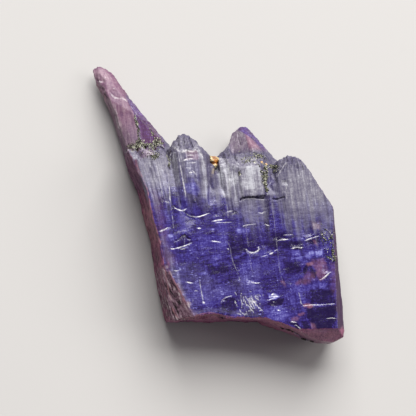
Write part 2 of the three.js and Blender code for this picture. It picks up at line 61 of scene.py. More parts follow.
# Viewpoint. The eye is nearly square on to the broad front of the crystal, a little to the left of
# its middle and below it, with the growth axis leaning eight degrees to the left in the frame.
AIM_MM = Vector((-1.248, -0.341, 3.0))
AXIS_LEAN = math.radians(8)
EYE_TO_LEFT = math.radians(8.5)
EYE_BELOW = math.radians(6)
LENS_MM = 300
SENSOR_MM = 36
FRAME_PIXELS = 416
MM_PER_PIXEL = 0.0875
MM = 0.001

focal_pixels = LENS_MM / SENSOR_MM * FRAME_PIXELS
growth_axis = Vector((math.sin(AXIS_LEAN), math.cos(AXIS_LEAN), 0))
across_axis = Vector((math.cos(AXIS_LEAN), -math.sin(AXIS_LEAN), 0))
to_eye = Vector((0, 0, 1)) - math.tan(EYE_TO_LEFT) * across_axis - math.tan(EYE_BELOW) * growth_axis
to_eye.normalize()
eye_mm = AIM_MM + to_eye * focal_pixels * MM_PER_PIXEL
eye_right = growth_axis.cross(to_eye).normalized()
eye_up = to_eye.cross(eye_right)
lens = bpy.data.cameras.new("viewpoint")
lens.lens = LENS_MM
lens.sensor_width = SENSOR_MM
lens.clip_start = 0.01
lens.clip_end = 20
viewpoint = bpy.data.objects.new("viewpoint", lens)
turn = Matrix((eye_right, eye_up, to_eye)).transposed().to_4x4()
viewpoint.matrix_world = Matrix.Translation(eye_mm * MM) @ turn
bpy.context.scene.collection.objects.link(viewpoint)
bpy.context.scene.camera = viewpoint
bpy.context.scene.view_settings.view_transform = "Standard"


# Floor and light. A plain pale matt floor just under the rest face, one wide soft light from
# beyond the terminations, a weaker one from the right, and an even pale sky.
FLOOR_REACH = 1.5
FLOOR_DROP = 0.00006
FLOOR_COLOUR = (0.46, 0.45, 0.44, 1)
SKY_COLOUR = (0.84, 0.80, 0.86, 1)
SKY_STRENGTH = 0.21

floor_mesh = bpy.data.meshes.new("pale_floor")
floor_mesh.from_pydata(
    [(x * FLOOR_REACH, y * FLOOR_REACH, -FLOOR_DROP) for x, y in ((-1, -1), (1, -1), (1, 1), (-1, 1))],
    [],
    [(0, 1, 2, 3)],
)
floor = bpy.data.objects.new("pale_floor", floor_mesh)
bpy.context.scene.collection.objects.link(floor)
floor_finish = bpy.data.materials.new("pale_floor")
floor_finish.use_nodes = True
floor_shader = floor_finish.node_tree.nodes["Principled BSDF"]
floor_shader.inputs["Base Color"].default_value = FLOOR_COLOUR
floor_shader.inputs["Roughness"].default_value = 0.85
floor_mesh.materials.append(floor_finish)

sky = bpy.data.worlds.new("pale_sky")
sky.use_nodes = True
sky.node_tree.nodes["Background"].inputs["Color"].default_value = SKY_COLOUR
sky.node_tree.nodes["Background"].inputs["Strength"].default_value = SKY_STRENGTH
bpy.context.scene.world = sky


def soft_light(name, place, size, watts, colour):
    """A square soft box at that place, in metres, facing the crystal."""
    lamp = bpy.data.lights.new(name, "AREA")
    lamp.shape = "SQUARE"
    lamp.size = size
    lamp.energy = watts
    lamp.color = colour
    box = bpy.data.objects.new(name, lamp)
    box.location = place
    box.rotation_euler = Vector(place).to_track_quat("Z", "Y").to_euler()
    bpy.context.scene.collection.objects.link(box)


soft_light("soft_light_beyond_tips", (0.10, 0.38, 0.42), 0.50, 7.6, (1.0, 0.99, 0.97))
soft_light("soft_light_right", (0.42, 0.02, 0.34), 0.26, 0.8, (1.0, 0.97, 0.94))


# Tanzanite crystal: one cluster of columns that grew side by side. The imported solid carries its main
# shape; here its skin gets the growth marks, chips and fibrous walls that run over all of it.
SKIN_PITCH = 0.078
SKIN_TRIANGLES = 132000

crystal_node = nodes["tanzanite_crystal"]
crystal_low, crystal_high = [np.array(corner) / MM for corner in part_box("tanzanite_crystal")]


def merged_copy(node, name):
    """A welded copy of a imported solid, in millimetres."""
    mesh = node.data.copy()
    mesh.name = name
    mesh.materials.clear()
    shell = bmesh.new()
    shell.from_mesh(mesh)
    bmesh.ops.remove_doubles(shell, verts=shell.verts, dist=1e-7)
    shell.to_mesh(mesh)
    shell.free()
    mesh.transform(Matrix.Scale(1 / MM, 4))
    return mesh


def applied(piece):
    """The piece's mesh with its modifiers in it; the modifiers are removed."""
    bpy.context.view_layer.update()
    finished = piece.evaluated_get(bpy.context.evaluated_depsgraph_get())
    mesh = bpy.data.meshes.new_from_object(finished)
    piece.modifiers.clear()
    piece.data = mesh
    return mesh


def even_skin(mesh, name, pitch):
    """The solid's surface again as an even net of small faces, in millimetres."""
    piece = bpy.data.objects.new(name, mesh)
    bpy.context.scene.collection.objects.link(piece)
    net = piece.modifiers.new("even_skin", "REMESH")
    net.mode = "VOXEL"
    net.voxel_size = pitch
    applied(piece)
    return piece


def vectors_of(items, name):
    flat = np.empty(len(items) * 3, np.float32)
    items.foreach_get(name, flat)
    return flat.reshape(-1, 3).astype(float)


def points_of(mesh):
    return vectors_of(mesh.vertices, "co")


def facing_of(mesh):
    return vectors_of(mesh.vertex_normals, "vector")


def move_points(mesh, places):
    mesh.vertices.foreach_set("co", places.astype(np.float32).ravel())


def smooth(mesh):
    mesh.polygons.foreach_set("use_smooth", [True] * len(mesh.polygons))


def solid_tree(mesh, unit):
    """The mesh's surface, for rays to be cast on, with its places divided by unit."""
    corners = [tuple(p / unit) for p in points_of(mesh)]
    return BVHTree.FromPolygons(corners, [tuple(p.vertices) for p in mesh.polygons])


def ramp(value, low, high):
    t = np.clip((value - low) / (high - low), 0, 1)
    return t * t * (3 - 2 * t)


def lattice_value(i, j, k, seed):
    mixed = (i * 374761393 + j * 668265263 + k * 1440662683 + seed * 974634777) & 0xFFFFFFFF
    mixed = ((mixed ^ (mixed >> 13)) * 1274126177) & 0xFFFFFFFF
    mixed = ((mixed ^ (mixed >> 15)) * 2246822519) & 0xFFFFFFFF
    return ((mixed ^ (mixed >> 16)) & 0xFFFF) / 32767.5 - 1


def unevenness(points, cell, seed):
    """Smooth chance values from -1 to 1, one for each point; cell is the grain's size in each direction."""
    scaled = points / np.array(cell, float)
    base = np.floor(scaled).astype(np.int64)
    part = scaled - base
    part = part * part * (3 - 2 * part)
    total = np.zeros(len(points))
    for dx in (0, 1):
        wx = part[:, 0] if dx else 1 - part[:, 0]
        for dy in (0, 1):
            wy = part[:, 1] if dy else 1 - part[:, 1]
            for dz in (0, 1):
                wz = part[:, 2] if dz else 1 - part[:, 2]
                value = lattice_value(base[:, 0] + dx, base[:, 1] + dy, base[:, 2] + dz, seed)
                total += wx * wy * wz * value
    return total


def layered(points, cell, seed, layers=3):
    total = np.zeros(len(points))
    size = np.array(cell, float)
    weight = 1.0
    for layer in range(layers):
        total += weight * unevenness(points, size, seed + layer)
        size = size / 2
        weight /= 2
    return total


def distance_to_path(points, path):
    """For each point, in the front plane: its distance to a path of (x, y) places, how far it is
    beyond the path along the growth axis, and where along the path it is, from 0 to 1."""
    best = np.full(len(points), 1e9)
    beyond = np.zeros(len(points))
    share = np.zeros(len(points))
    legs = len(path) - 1
    for leg, ((ax, ay), (bx, by)) in enumerate(zip(path[:-1], path[1:])):
        run = np.array((bx - ax, by - ay))
        away = points[:, :2] - (ax, ay)
        t = np.clip((away @ run) / (run @ run), 0, 1)
        gap = away - t[:, None] * run
        reach = np.hypot(gap[:, 0], gap[:, 1])
        nearer = reach < best
        best = np.where(nearer, reach, best)
        beyond = np.where(nearer, gap[:, 1], beyond)
        share = np.where(nearer, (leg + t) / legs, share)
    return best, beyond, share


packed_crystal = solid_tree(merged_copy(crystal_node, "packed_crystal"), 1)
OPEN_LEVEL = 6.1


def seen(readings):
    """The (x, y) of places on the crystal that were read off in the frame, each given as pixels
    right of and below its top left corner. Beside the crystal, a place lies level with the front."""
    places = []
    for right, down in readings:
        sight = eye_right * (right - FRAME_PIXELS / 2) + eye_up * (FRAME_PIXELS / 2 - down)
        sight -= to_eye * focal_pixels
        found = packed_crystal.ray_cast(eye_mm, sight.normalized())[0]
        if found is None:
            found = eye_mm + sight * (OPEN_LEVEL - eye_mm.z) / sight.z
        places.append((found.x, found.y))
    return places


# In the tables below, a place on the crystal is either read off in the frame, through seen, or given as
# (x, y) in millimetres. Widths and softness are in millimetres too.

# Bright crescents, where a thin chip or cleavage step catches the light: each is a small ledge cut into
# the skin, with a painted white highlight along it: (half width, strength, path).
GLINTS = [
    (0.07, 0.9, seen([(175, 208.5), (178, 210), (181, 210.7), (184, 210.3), (186, 209)])),
    (0.07, 1.0, seen([(185, 213), (188, 215.3), (191, 216.6), (196, 217), (200, 216.5), (205, 214.8),
            (208, 213.5)])),
    (0.07, 0.6, seen([(165, 202), (167, 202.5), (169, 202.8)])),
    (0.10, 1.0, seen([(213, 221.3), (217, 220.3), (222, 219.8)])),
    (0.04, 0.6, seen([(217, 222.5), (224, 222.6), (230, 222)])),
    (0.07, 0.9, seen([(160, 231.5), (163, 230), (168, 228)])),
    (0.05, 1.0, [(-5.26, -3.75)] + seen([(180, 247.3), (186, 245.5), (191, 243)])),
    (0.11, 1.0, seen([(171, 248.8)]) + [(-5.20, -3.74)]),
    (0.07, 0.9, seen([(212, 241), (216, 241.5), (220, 242.2)])),
    (0.08, 1.0, seen([(246, 249), (248.5, 251.5), (251, 252.7), (255, 252.3), (258, 250.8), (259, 249),
            (258.5, 247)])),
    (0.05, 0.6, seen([(263, 256.5), (266, 255.4)])),
    (0.08, 0.8, seen([(270, 254), (273, 252.6)])),
    (0.05, 0.6, seen([(274, 251.5), (276, 250)])),
    (0.07, 0.9, seen([(279, 240.3), (283, 239.6), (288, 239.2)])),
    (0.05, 0.6, seen([(284, 235), (292, 234.6)])),
    (0.07, 0.9, seen([(306, 240.3), (309, 239), (313, 237.6), (318, 236.2)])),
    (0.08, 0.8, seen([(292, 248.5), (294, 248)])),
    (0.04, 0.6, seen([(294, 248), (297, 247), (300, 248)])),
    (0.08, 0.8, seen([(300, 248), (302, 247.5)])),
    (0.07, 0.8, seen([(249.5, 281), (253, 282.6), (257, 283.2), (259, 282.8)])),
    (0.10, 1.0, seen([(321, 279.8), (324, 277.5), (327, 275), (330, 272.3)])),
    (0.07, 0.8, seen([(187, 282), (189.5, 282.7), (192, 283)])),
    (0.05, 0.7, seen([(199.5, 280), (200, 284), (201, 290), (202, 295), (203, 300), (203.7, 303)])),
    (0.12, 1.0, [(-3.33, -8.62), (-3.22, -8.74)]),
    (0.10, 0.9, seen([(198, 228.2), (200.5, 228.4)])),
    (0.06, 0.5, seen([(174, 270.5), (177, 271), (180, 269.8)])),
    (0.08, 0.8, seen([(266, 224.5), (268.5, 225.5)])),
    (0.09, 0.8, seen([(228, 248.5), (228.3, 249.5)])),
    (0.06, 0.7, seen([(228, 211.5), (232, 211)])),
    (0.06, 0.7, seen([(233, 214), (235, 213)])),
    (0.05, 0.5, seen([(243, 226), (248, 224.8), (255, 224)])),
    (0.05, 0.6, seen([(259, 212.5), (262, 213.5), (264, 212)])),
    (0.15, 1.0, seen([(271.5, 295), (273.5, 294), (277, 296)])),
    (0.15, 1.0, seen([(270.5, 297), (273.5, 296.5), (277.5, 296.5)])),
    (0.06, 0.7, seen([(269, 300), (272, 299), (274.5, 298)])),
    (0.07, 0.9, seen([(278, 310), (279, 310.5)])),
    (0.05, 0.6, seen([(221, 304), (222, 300), (226, 297.5), (231, 296)])),
    (0.09, 0.9, seen([(292, 321.5), (296, 322.5)])),
    (0.05, 0.8, seen([(296, 325), (299, 327.5), (301.5, 330)])),
    (0.05, 0.6, seen([(301, 331), (302, 333)])),
    (0.04, 0.6, seen([(303, 306), (312, 304.8), (320, 305), (328, 304.2), (334, 304)])),
    (0.06, 0.6, seen([(328, 318.5), (332, 318), (335, 318.5)])),
    (0.10, 0.7, seen([(171, 150), (173, 148), (176, 147.5), (178, 150.5), (182, 152), (186, 150),
            (190, 151.5), (193, 151.5), (196, 149.5), (199, 152.5), (203, 157)])),
    (0.12, 0.8, seen([(110, 92.5), (112, 95), (115, 97.5), (118, 98.5), (122, 98), (125, 99.5),
            (127, 101.5)])),
    (0.08, 0.9, seen([(98, 81), (101, 82), (103.5, 82)])),
    (0.07, 0.8, seen([(113, 88), (114.5, 89)])),
    (0.07, 0.6, seen([(131, 106.5), (134, 110), (137, 115)])),
    (0.06, 0.6, seen([(105, 76), (106, 78)])),
    (0.09, 0.7, [(-7.70, 5.55), (-7.60, 5.48)]),
    (0.05, 0.5, [(1.16, -0.37), (1.63, -0.23), (2.24, -0.26), (2.90, -0.44), (3.25, -0.49)]),
    (0.05, 0.7, [(-3.06, 4.12), (-2.70, 4.14), (-2.36, 4.08)]),
    (0.09, 1.0, [(-3.29, 3.76), (-2.95, 3.82), (-2.55, 3.80)]),
    (0.06, 0.8, seen([(188, 163), (195.5, 162.5)])),
    (0.07, 0.6, [(-3.16, 3.08), (-2.80, 3.00)]),
    (0.10, 0.9, [(-2.98, 2.66), (-2.75, 2.62)]),
    (0.06, 0.8, [(-2.70, 2.80), (-2.40, 2.40), (-2.36, 2.15)]),
]

# A fan of fine white scratches near the base.
SCRATCHES = [
    (0.05, 0.9, [(0.95, -8.60), (1.00, -8.95), (1.20, -9.30), (1.45, -9.75)]),
    (0.05, 0.9, [(0.75, -8.85), (0.95, -9.25), (1.05, -9.65)]),
    (0.05, 0.8, [(1.20, -8.70), (1.40, -8.95), (1.55, -9.05)]),
    (0.05, 0.8, [(0.90, -9.05), (1.30, -9.20)]),
    (0.05, 0.8, [(0.45, -8.70), (0.70, -9.10), (0.75, -9.45), (1.00, -9.80)]),
    (0.04, 0.8, [(1.00, -8.80), (0.70, -9.05)]),
    (0.04, 0.8, [(1.25, -9.05), (0.85, -9.35)]),
    (0.05, 0.7, [(1.45, -9.70), (1.75, -10.05)]),
    (0.05, 0.8, [(0.05, -8.40), (0.00, -8.80), (0.05, -9.20), (-0.05, -9.55)]),
    (0.05, 0.6, [(0.25, -8.60), (0.20, -9.00)]),
    (0.05, 0.6, [(-0.45, -8.10), (-0.35, -8.35)]),
    (0.05, 0.7, [(0.60, -9.45), (0.75, -9.80), (0.70, -10.05)]),
    (0.05, 0.6, [(-0.10, -9.95), (0.10, -10.15), (0.35, -10.10)]),
    (0.05, 0.6, [(-0.55, -9.95), (-0.20, -10.10)]),
    (0.05, 0.6, [(-4.60, -8.70), (-4.55, -9.00)]),
    (0.05, 0.6, [(-4.15, -8.20), (-4.20, -8.50)]),
    (0.05, 0.6, [(-3.90, -7.55), (-3.65, -7.60)]),
]

# Crumb-sized bright marks strewn over the fan.
CRUMB_SEED = 29
CRUMB_COUNT = 44
FAN_MIDDLE = (0.85, -9.15)
FAN_SPREAD = (0.62, 0.42)
CRUMB_LENGTH = 0.10
CRUMB_RISE = 0.03

crumbs = np.random.default_rng(CRUMB_SEED)
for _ in range(CRUMB_COUNT):
    near_x, near_y = crumbs.normal(FAN_MIDDLE, FAN_SPREAD)
    off_x, off_y = crumbs.normal(0, CRUMB_LENGTH, 2)
    far_end = (near_x + off_x, near_y + off_y + CRUMB_RISE)
    SCRATCHES.append((0.05, 0.8, [(near_x, near_y), far_end]))

# Pale lines along the growth axis, where one column meets the next.
SEAMS = [
    (0.07, 0.7, seen([(168, 178), (168.6, 185), (169.2, 192), (169.6, 200), (171, 205), (175, 208.5)])),
    (0.07, 0.8, seen([(178, 153), (179.5, 160), (181, 170), (182.5, 178), (184, 186), (185.5, 194),
            (186, 200)])),
    (0.03, 0.30, seen([(271, 198), (272.5, 206), (273.5, 216), (275, 228), (276.3, 240), (278, 255),
            (279.5, 268), (281, 276), (283, 282)])),
    (0.05, 0.6, seen([(286, 185), (286.8, 192), (287, 200)])),
    (0.03, 0.35, seen([(220, 236), (223, 237.8), (226, 240.5), (229, 244.5), (230.5, 249), (231.5, 256),
            (233.5, 263), (236, 269), (238.5, 274), (240, 281)])),
    (0.05, 0.5, seen([(155, 158), (157, 168), (159, 178), (161, 190), (163, 202)])),
    (0.04, 0.4, seen([(171.5, 214), (172.5, 220), (173.5, 228)])),
    (0.05, 0.4, seen([(227.5, 160), (229, 172), (229.5, 184), (230, 196)])),
    (0.05, 0.6, seen([(298.5, 292), (300, 297), (301, 303), (303, 305)])),
    (0.05, 0.7, seen([(113, 104), (115, 112), (117, 120), (119, 129), (120.5, 136)])),
    (0.05, 0.5, seen([(114.6, 103), (116.5, 112), (118.3, 120)])),
    (0.03, 0.2, seen([(184, 228), (184.5, 236), (184, 250), (185, 258)])),
    (0.05, 0.5, seen([(286.5, 162), (281, 170), (275, 180)])),
    (0.04, 0.4, seen([(227, 204), (228, 212), (228, 218)])),
]

# Open cracks and grooves, cut into the skin and coloured near black along them.
CRACKS = [
    (0.045, 0.9, seen([(240, 200), (242.5, 198.4), (245, 197.7), (249, 197.9), (252, 197.2), (256, 197.8),
            (260, 198.2), (264, 198.2)])),
    (0.05, 0.9, seen([(273, 199), (277, 199.5), (281, 198), (284, 197)])),
    (0.05, 1.0, seen([(100.5, 87), (103, 89), (104, 93), (106, 97)])),
    (0.04, 0.35, seen([(238, 134), (238, 139), (240, 145)])),
    (0.05, 0.9, seen([(175, 241), (179, 239), (182, 236), (184, 235), (187, 238), (190, 239)])),
    (0.07, 1.0, seen([(168, 151), (168.5, 156), (170, 160)])),
    (0.06, 0.9, seen([(169, 166), (170, 170)])),
    (0.07, 0.45, [(-3.64, 5.25)] + seen([(174.5, 152)])),
    (0.07, 0.45, seen([(179, 137)]) + [(-3.53, 4.90)]),
    (0.07, 0.45, [(-2.80, 6.10), (-3.12, 4.80)]),
    (0.06, 0.45, [(-2.60, 5.90), (-2.78, 4.85)]),
    (0.06, 0.45, [(-2.35, 5.80), (-2.36, 4.80)]),
    (0.06, 0.45, [(-2.12, 5.55)] + seen([(197.5, 150)])),
    (0.07, 0.40, [(5.64, 2.95)] + seen([(281, 166)])),
    (0.07, 0.40, seen([(286.5, 158), (286, 168)])),
    (0.06, 0.40, [(6.34, 3.05)] + seen([(292, 168)])),
    (0.06, 0.40, seen([(297, 156.5), (297, 168)])),
    (0.06, 0.40, [(6.93, 2.60)] + seen([(303, 170)])),
]

# Pink outlines of painted light, where light leaves through the thin rim of the front face.
RIMS = [
    (0.06, 0.8, seen([(136, 164), (140, 172), (143, 180), (147, 190), (149, 200), (150, 210), (152, 219),
            (156, 232), (160, 243), (163, 256), (164.5, 268)])),
    (0.05, 0.8, seen([(165, 268), (166.5, 280), (169, 292), (171, 300)])),
    (0.06, 0.7, seen([(167, 268), (172, 277), (178, 288), (184, 299), (191, 310)])),
    (0.05, 0.7, seen([(180, 290), (184, 302), (188, 310)])),
    (0.07, 1.0, seen([(171, 305), (174, 312), (178, 318)])),
    (0.06, 0.5, seen([(179, 318.5), (186, 317.5), (194, 316), (201, 314), (208, 312.2), (214, 312.8),
            (222, 315), (230, 316.5), (240, 316.5)])),
    (0.05, 0.5, seen([(242, 317), (252, 318.5), (260, 321), (268, 324), (278, 327), (288, 332),
            (296, 335)])),
    (0.10, 0.8, seen([(97, 84)]) + [(-9.05, 11.20)] + seen([(103, 97), (106, 103)])),
]

# Black dirt in the fibres of the bevel beside the left wall.
DIRT = [
    (0.09, 1.0, seen([(170, 281), (172, 286), (173, 292)])),
    (0.08, 0.8, seen([(174, 279), (178, 284)])),
    (0.09, 0.9, seen([(173, 302), (177, 308), (179, 316)])),
]

# Cream-coloured stain running down from the rust-stained grain.
STAINS = [(0.14, 0.45, seen([(216, 163), (213.5, 170), (212, 176)]))]


def marks(points, front, paths):
    """How strongly each point lies on one of the paths, from 0 to 1."""
    strength = np.zeros(len(points))
    swell = 1 + 0.6 * unevenness(points, (0.35, 0.35, 0.35), 66)
    for half_width, most, path in paths:
        gap, _, share = distance_to_path(points, path)
        width = half_width * swell * (0.45 + 0.65 * ramp(share, 0, 0.3) * ramp(1 - share, 0, 0.3))
        strength = np.maximum(strength, most * (1 - ramp(gap / width, 0.1, 1.0)))
    broken = ramp(unevenness(points, (0.25, 0.25, 0.25), 65), -0.8, 0.2)
    return strength * front * (0.2 + 0.8 * broken)


def near_marks(points, tables, reach):
    """Which points lie within reach of any path of the tables."""
    near = np.zeros(len(points), bool)
    for _, _, path in [row for table in tables for row in table]:
        near |= distance_to_path(points, path)[0] < reach
    return near


def finer_net(mesh, chosen):
    """Splits every edge between two chosen points, so that fine marks come out sharp there."""
    net = bmesh.new()
    net.from_mesh(mesh)
    edges = [e for e in net.edges if chosen[e.verts[0].index] and chosen[e.verts[1].index]]
    bmesh.ops.subdivide_edges(net, edges=edges, cuts=1, use_grid_fill=True)
    bmesh.ops.triangulate(net, faces=[f for f in net.faces if len(f.verts) > 3])
    net.to_mesh(mesh)
    net.free()


# Healed pits in the lower front, filled nearly level: (x, y, half width, half height, soft share).
DISHES = [
    (-1.22, -8.95, 1.00, 0.90, 0.35),
    (3.15, -9.38, 1.05, 0.70, 0.35),
    (-4.30, -3.00, 2.30, 1.60, 0.80),
]
DEEPEST_FILLED = 0.5
FILLED_SHARE = 0.96
FRONT_LEVEL = 6.14

crystal = even_skin(merged_copy(crystal_node, "crystal_skin"), "tanzanite_crystal_skin", SKIN_PITCH)
start = points_of(crystal.data)
facing = facing_of(crystal.data)
for px, py, wide, high, soft in DISHES:
    reach = np.hypot((start[:, 0] - px) / wide, (start[:, 1] - py) / high)
    missing = np.clip(FRONT_LEVEL - start[:, 2], 0, DEEPEST_FILLED)
    start[:, 2] += FILLED_SHARE * missing * ramp(1 - reach, 0.0, soft) * (missing < DEEPEST_FILLED)
x, y, z = start.T
front = ramp(facing[:, 2], 0.15, 0.6)
wall = 1 - ramp(np.abs(facing[:, 2]), 0.35, 0.75)
rest = 1 - ramp(z, 0.0, 0.25)
base_end = ramp(-facing[:, 1], 0.45, 0.8)
TOP_ZONE_START = 0.3
high_zone = y + 0.5 * unevenness(start, (1.5, 1.5, 1.5), 3)
high_zone = ramp(high_zone, TOP_ZONE_START - 2.0, TOP_ZONE_START + 1.5)

striae = layered(start, (0.30, 7.0, 0.30), 11)
columns = unevenness(start, (0.75, 9.0, 0.75), 13)
steps_phase = y / 0.36 + 1.3 * unevenness(start, (2.2, 1.4, 2.2), 21)
saw = steps_phase - np.floor(steps_phase)
steps_patch = ramp(unevenness(start, (1.6, 1.1, 1.6), 25), -0.15, 0.5)
mottle = layered(start, (0.9, 0.55, 0.9), 31, 2)
fibres = layered(start, (0.16, 2.6, 0.16), 41)
rough = layered(start, (0.22, 0.22, 0.22), 51, 2)

fang_tip = ramp(y, 10.6, 11.1) * ramp(-x, 6.0, 6.5)
smooth_corner = ramp(x, 3.5, 5.0) * ramp(-y, 8.0, 9.0)
right_shoulder = ramp(x, 6.6, 7.6) * ramp(y, -4.0, -2.0)
left_slope = ramp(-x, 3.2, 4.2) * ramp(y, -4.6, -3.4) * ramp(-y, -4.6, -0.6) * front

# How deep each kind of relief goes.
STRIAE_DEPTH = 0.007
HIGH_STRIAE_DEPTH = 0.012
COLUMN_DEPTH = 0.024
STEP_DEPTH = 0.010
MOTTLE_DEPTH = 0.012
FIBRE_DEPTH = 0.070
BROKEN_DEPTH = 0.060
SPLINTER_DEPTH = 0.25
ROUGH_DEPTH = 0.006
FANG_TIP_DEPTH = 0.030
CRACK_DEPTH = 0.20
LEDGE_DEPTH = 0.030
SCRATCH_DEPTH = 0.015

depth = np.zeros(len(start))
depth -= (STRIAE_DEPTH + HIGH_STRIAE_DEPTH * high_zone) * striae * (1 - base_end)
depth -= COLUMN_DEPTH * high_zone * columns * front * (1 - 0.7 * right_shoulder)
depth += STEP_DEPTH * saw * steps_patch * (1 - 0.8 * high_zone) * front
depth += MOTTLE_DEPTH * mottle * front * (1 - 0.4 * high_zone)
depth += FIBRE_DEPTH * fibres * wall * (1 - base_end)
depth += BROKEN_DEPTH * rough * base_end * (1 - 0.8 * smooth_corner)
splinters = 0.5 + 0.5 * layered(start, (1.1, 1.1, 0.7), 57)
depth += SPLINTER_DEPTH * splinters * base_end * ramp(4.8 - z, 0, 0.8) * ramp(2.6 - x, 0, 0.8)
depth += ROUGH_DEPTH * rough
depth += FANG_TIP_DEPTH * rough * fang_tip
for half_width, most, path in CRACKS:
    gap = distance_to_path(start, path)[0]
    depth += CRACK_DEPTH * most * (1 - ramp(gap, half_width * 0.4, half_width * 1.5)) * front
depth *= 1 - rest
skin = start - facing * depth[:, None]
skin[:, 2] += 0.8 * left_slope * np.clip(FRONT_LEVEL - 0.04 - skin[:, 2], 0, 0.4)
skin = np.clip(skin, crystal_low, crystal_high)
move_points(crystal.data, skin)
crystal.data.update()

keep = crystal.vertex_groups.new(name="thin_out")
thin_weight = 1 - 0.95 * ramp(facing[:, 2], -0.3, 0.3)
for level in range(11):
    members = np.nonzero(np.round(thin_weight * 10).astype(int) == level)[0]
    if len(members):
        keep.add(members.tolist(), level / 10, "REPLACE")
thin = crystal.modifiers.new("thin_out", "DECIMATE")
triangles = sum(len(p.vertices) - 2 for p in crystal.data.polygons)
thin.ratio = min(1, SKIN_TRIANGLES / triangles)
thin.vertex_group = "thin_out"
thin.use_collapse_triangulate = True
applied(crystal)
crystal.vertex_groups.clear()

FINE_NET_REACH = 0.17
on_front = facing_of(crystal.data)[:, 2] > 0.1
marked = near_marks(points_of(crystal.data), (GLINTS, SCRATCHES, SEAMS, CRACKS, RIMS, DIRT), FINE_NET_REACH)
finer_net(crystal.data, marked & on_front)
skin = points_of(crystal.data)
facing = facing_of(crystal.data)
ledge = np.zeros(len(skin))
for half_width, most, path in GLINTS:
    gap, beyond, _ = distance_to_path(skin, path)
    ledge += LEDGE_DEPTH * most * (1 - ramp(gap, 0.04, 0.20)) * ramp(beyond, -0.02, 0.04)
for half_width, most, path in SCRATCHES:
    gap = distance_to_path(skin, path)[0]
    ledge += SCRATCH_DEPTH * most * (1 - ramp(gap, 0.02, 0.07))
skin -= facing * (ledge * ramp(facing[:, 2], 0.15, 0.6))[:, None]
move_points(crystal.data, np.clip(skin, crystal_low, crystal_high))
crystal.data.update()
smooth(crystal.data)

# Where the colour changes over the crystal, kept with each point of its skin.
skin = points_of(crystal.data)
facing = facing_of(crystal.data)
x, y, z = skin.T
front = ramp(facing[:, 2], 0.1, 0.5)
ragged = unevenness(skin, (0.5, 0.5, 0.5), 61) + 0.6 * unevenness(skin, (0.2, 0.2, 0.2), 62)

PATCH_MARGIN = 0.6


def patches_at(table):
    """How strongly each point of the skin lies in one of the patches, from 0 to 1."""
    total = np.zeros(len(skin))
    for strength, soft, outline in table:
        corners = np.array(outline)
        low = corners.min(axis=0) - PATCH_MARGIN
        high = corners.max(axis=0) + PATCH_MARGIN
        near = np.nonzero(((skin[:, :2] > low) & (skin[:, :2] < high)).all(axis=1))[0]
        places = skin[near]
        gap = distance_to_path(places, outline + outline[:1])[0]
        inside = np.zeros(len(near), bool)
        for (ax, ay), (bx, by) in zip(outline, outline[1:] + outline[:1]):
            if ay != by:
                crossing = (bx - ax) * (places[:, 1] - ay) / (by - ay) + ax
                inside ^= ((ay > places[:, 1]) != (by > places[:, 1])) & (places[:, 0] < crossing)
        depth_in = np.where(inside, gap, -gap) + 0.08 * ragged[near]
        total[near] = np.maximum(total[near], strength * ramp(depth_in, -soft, soft))
    return total * front


# Lower limit of the frosted zone across the crystal: (x, y) pairs from left to right.
FROST_EDGE = [(-9.5, 2.8), (-5.5, 2.4), (-4.2, 2.2), (-3.3, 2.5), (-2.2, 1.8), (-1.2, 0.9), (0.2, 0.5),
              (0.8, -0.9), (3.2, -1.2), (3.6, 1.2), (4.2, 0.8), (4.8, -1.6), (8.0, -2.6), (9.5, -2.2)]

# Lighter blue patches of painted reflection, where cleavage inside throws light back: (strength, softness,
# outline).
PAINTED_LIGHT_PATCHES = [
    (1.00, 0.12, [(2.38, -8.62), (3.05, -8.60), (3.35, -8.98), (3.05, -9.22), (2.45, -9.14)]),
    (1.00, 0.08, seen([(315, 251), (322, 250), (323, 256), (317, 257), (314, 255)])),
    (0.80, 0.08, seen([(305, 256), (309, 252), (315, 250), (315, 256), (309, 258)])),
    (0.70, 0.10, seen([(292, 250), (299, 250), (300, 255), (293, 256)])),
    (0.70, 0.06, seen([(290, 258), (302, 257), (302, 259), (291, 260)])),
    (0.50, 0.30, seen([(265.5, 309)]) + [(2.61, -9.80), (3.40, -9.84)] + seen([(287, 309), (289, 314),
            (285, 320), (277, 321.5), (269, 319), (265, 314)])),
    (0.90, 0.06, seen([(233, 258), (235, 256), (241, 254), (243, 251), (246, 253), (243, 256), (237, 259)])),
    (0.60, 0.08, seen([(212, 255), (220, 254), (220, 259), (213, 260)])),
    (0.90, 0.05, seen([(213, 264), (218, 263), (218, 265.5), (214, 266)])),
    (0.70, 0.06, seen([(197, 273), (206, 272), (206, 274.5), (198, 275)])),
    (0.80, 0.06, seen([(168, 235), (172, 234), (173, 237), (169, 238)])),
    (0.90, 0.05, seen([(211, 228.5), (215, 228), (215, 230.5), (212, 231)])),
    (0.60, 0.10, seen([(236, 229), (250, 228), (250, 232), (238, 233)])),
    (0.80, 0.10, seen([(184, 183), (196, 182), (200, 190), (197, 196), (187, 193)])),
    (0.35, 0.40, [(0.4, -5.3), (2.3, -5.7), (1.8, -8.9), (0.3, -8.2)]),
    (0.30, 0.40, [(-4.8, -7.0), (-0.3, -7.6), (-0.4, -8.6), (-3.1, -9.2), (-4.4, -8.3)]),
    (0.40, 0.20, seen([(294, 284), (312, 284), (308, 294), (298, 293)])),
    (0.50, 0.08, seen([(319, 283), (326, 284), (325, 288), (320, 288)])),
    (0.60, 0.05, seen([(306, 267), (310, 266), (310, 269), (307, 270)])),
    (0.70, 0.05, seen([(311, 287), (314, 286), (316, 289), (313, 290)])),
    (0.45, 0.15, [(-3.15, 4.35), (-1.95, 4.20), (-2.10, 1.80), (-3.30, 1.80)]),
    (0.35, 0.20, seen([(192, 236), (228, 234), (226, 246), (196, 248)])),
    (0.45, 0.12, seen([(300, 294), (305, 300), (306, 304), (302, 303)])),
]
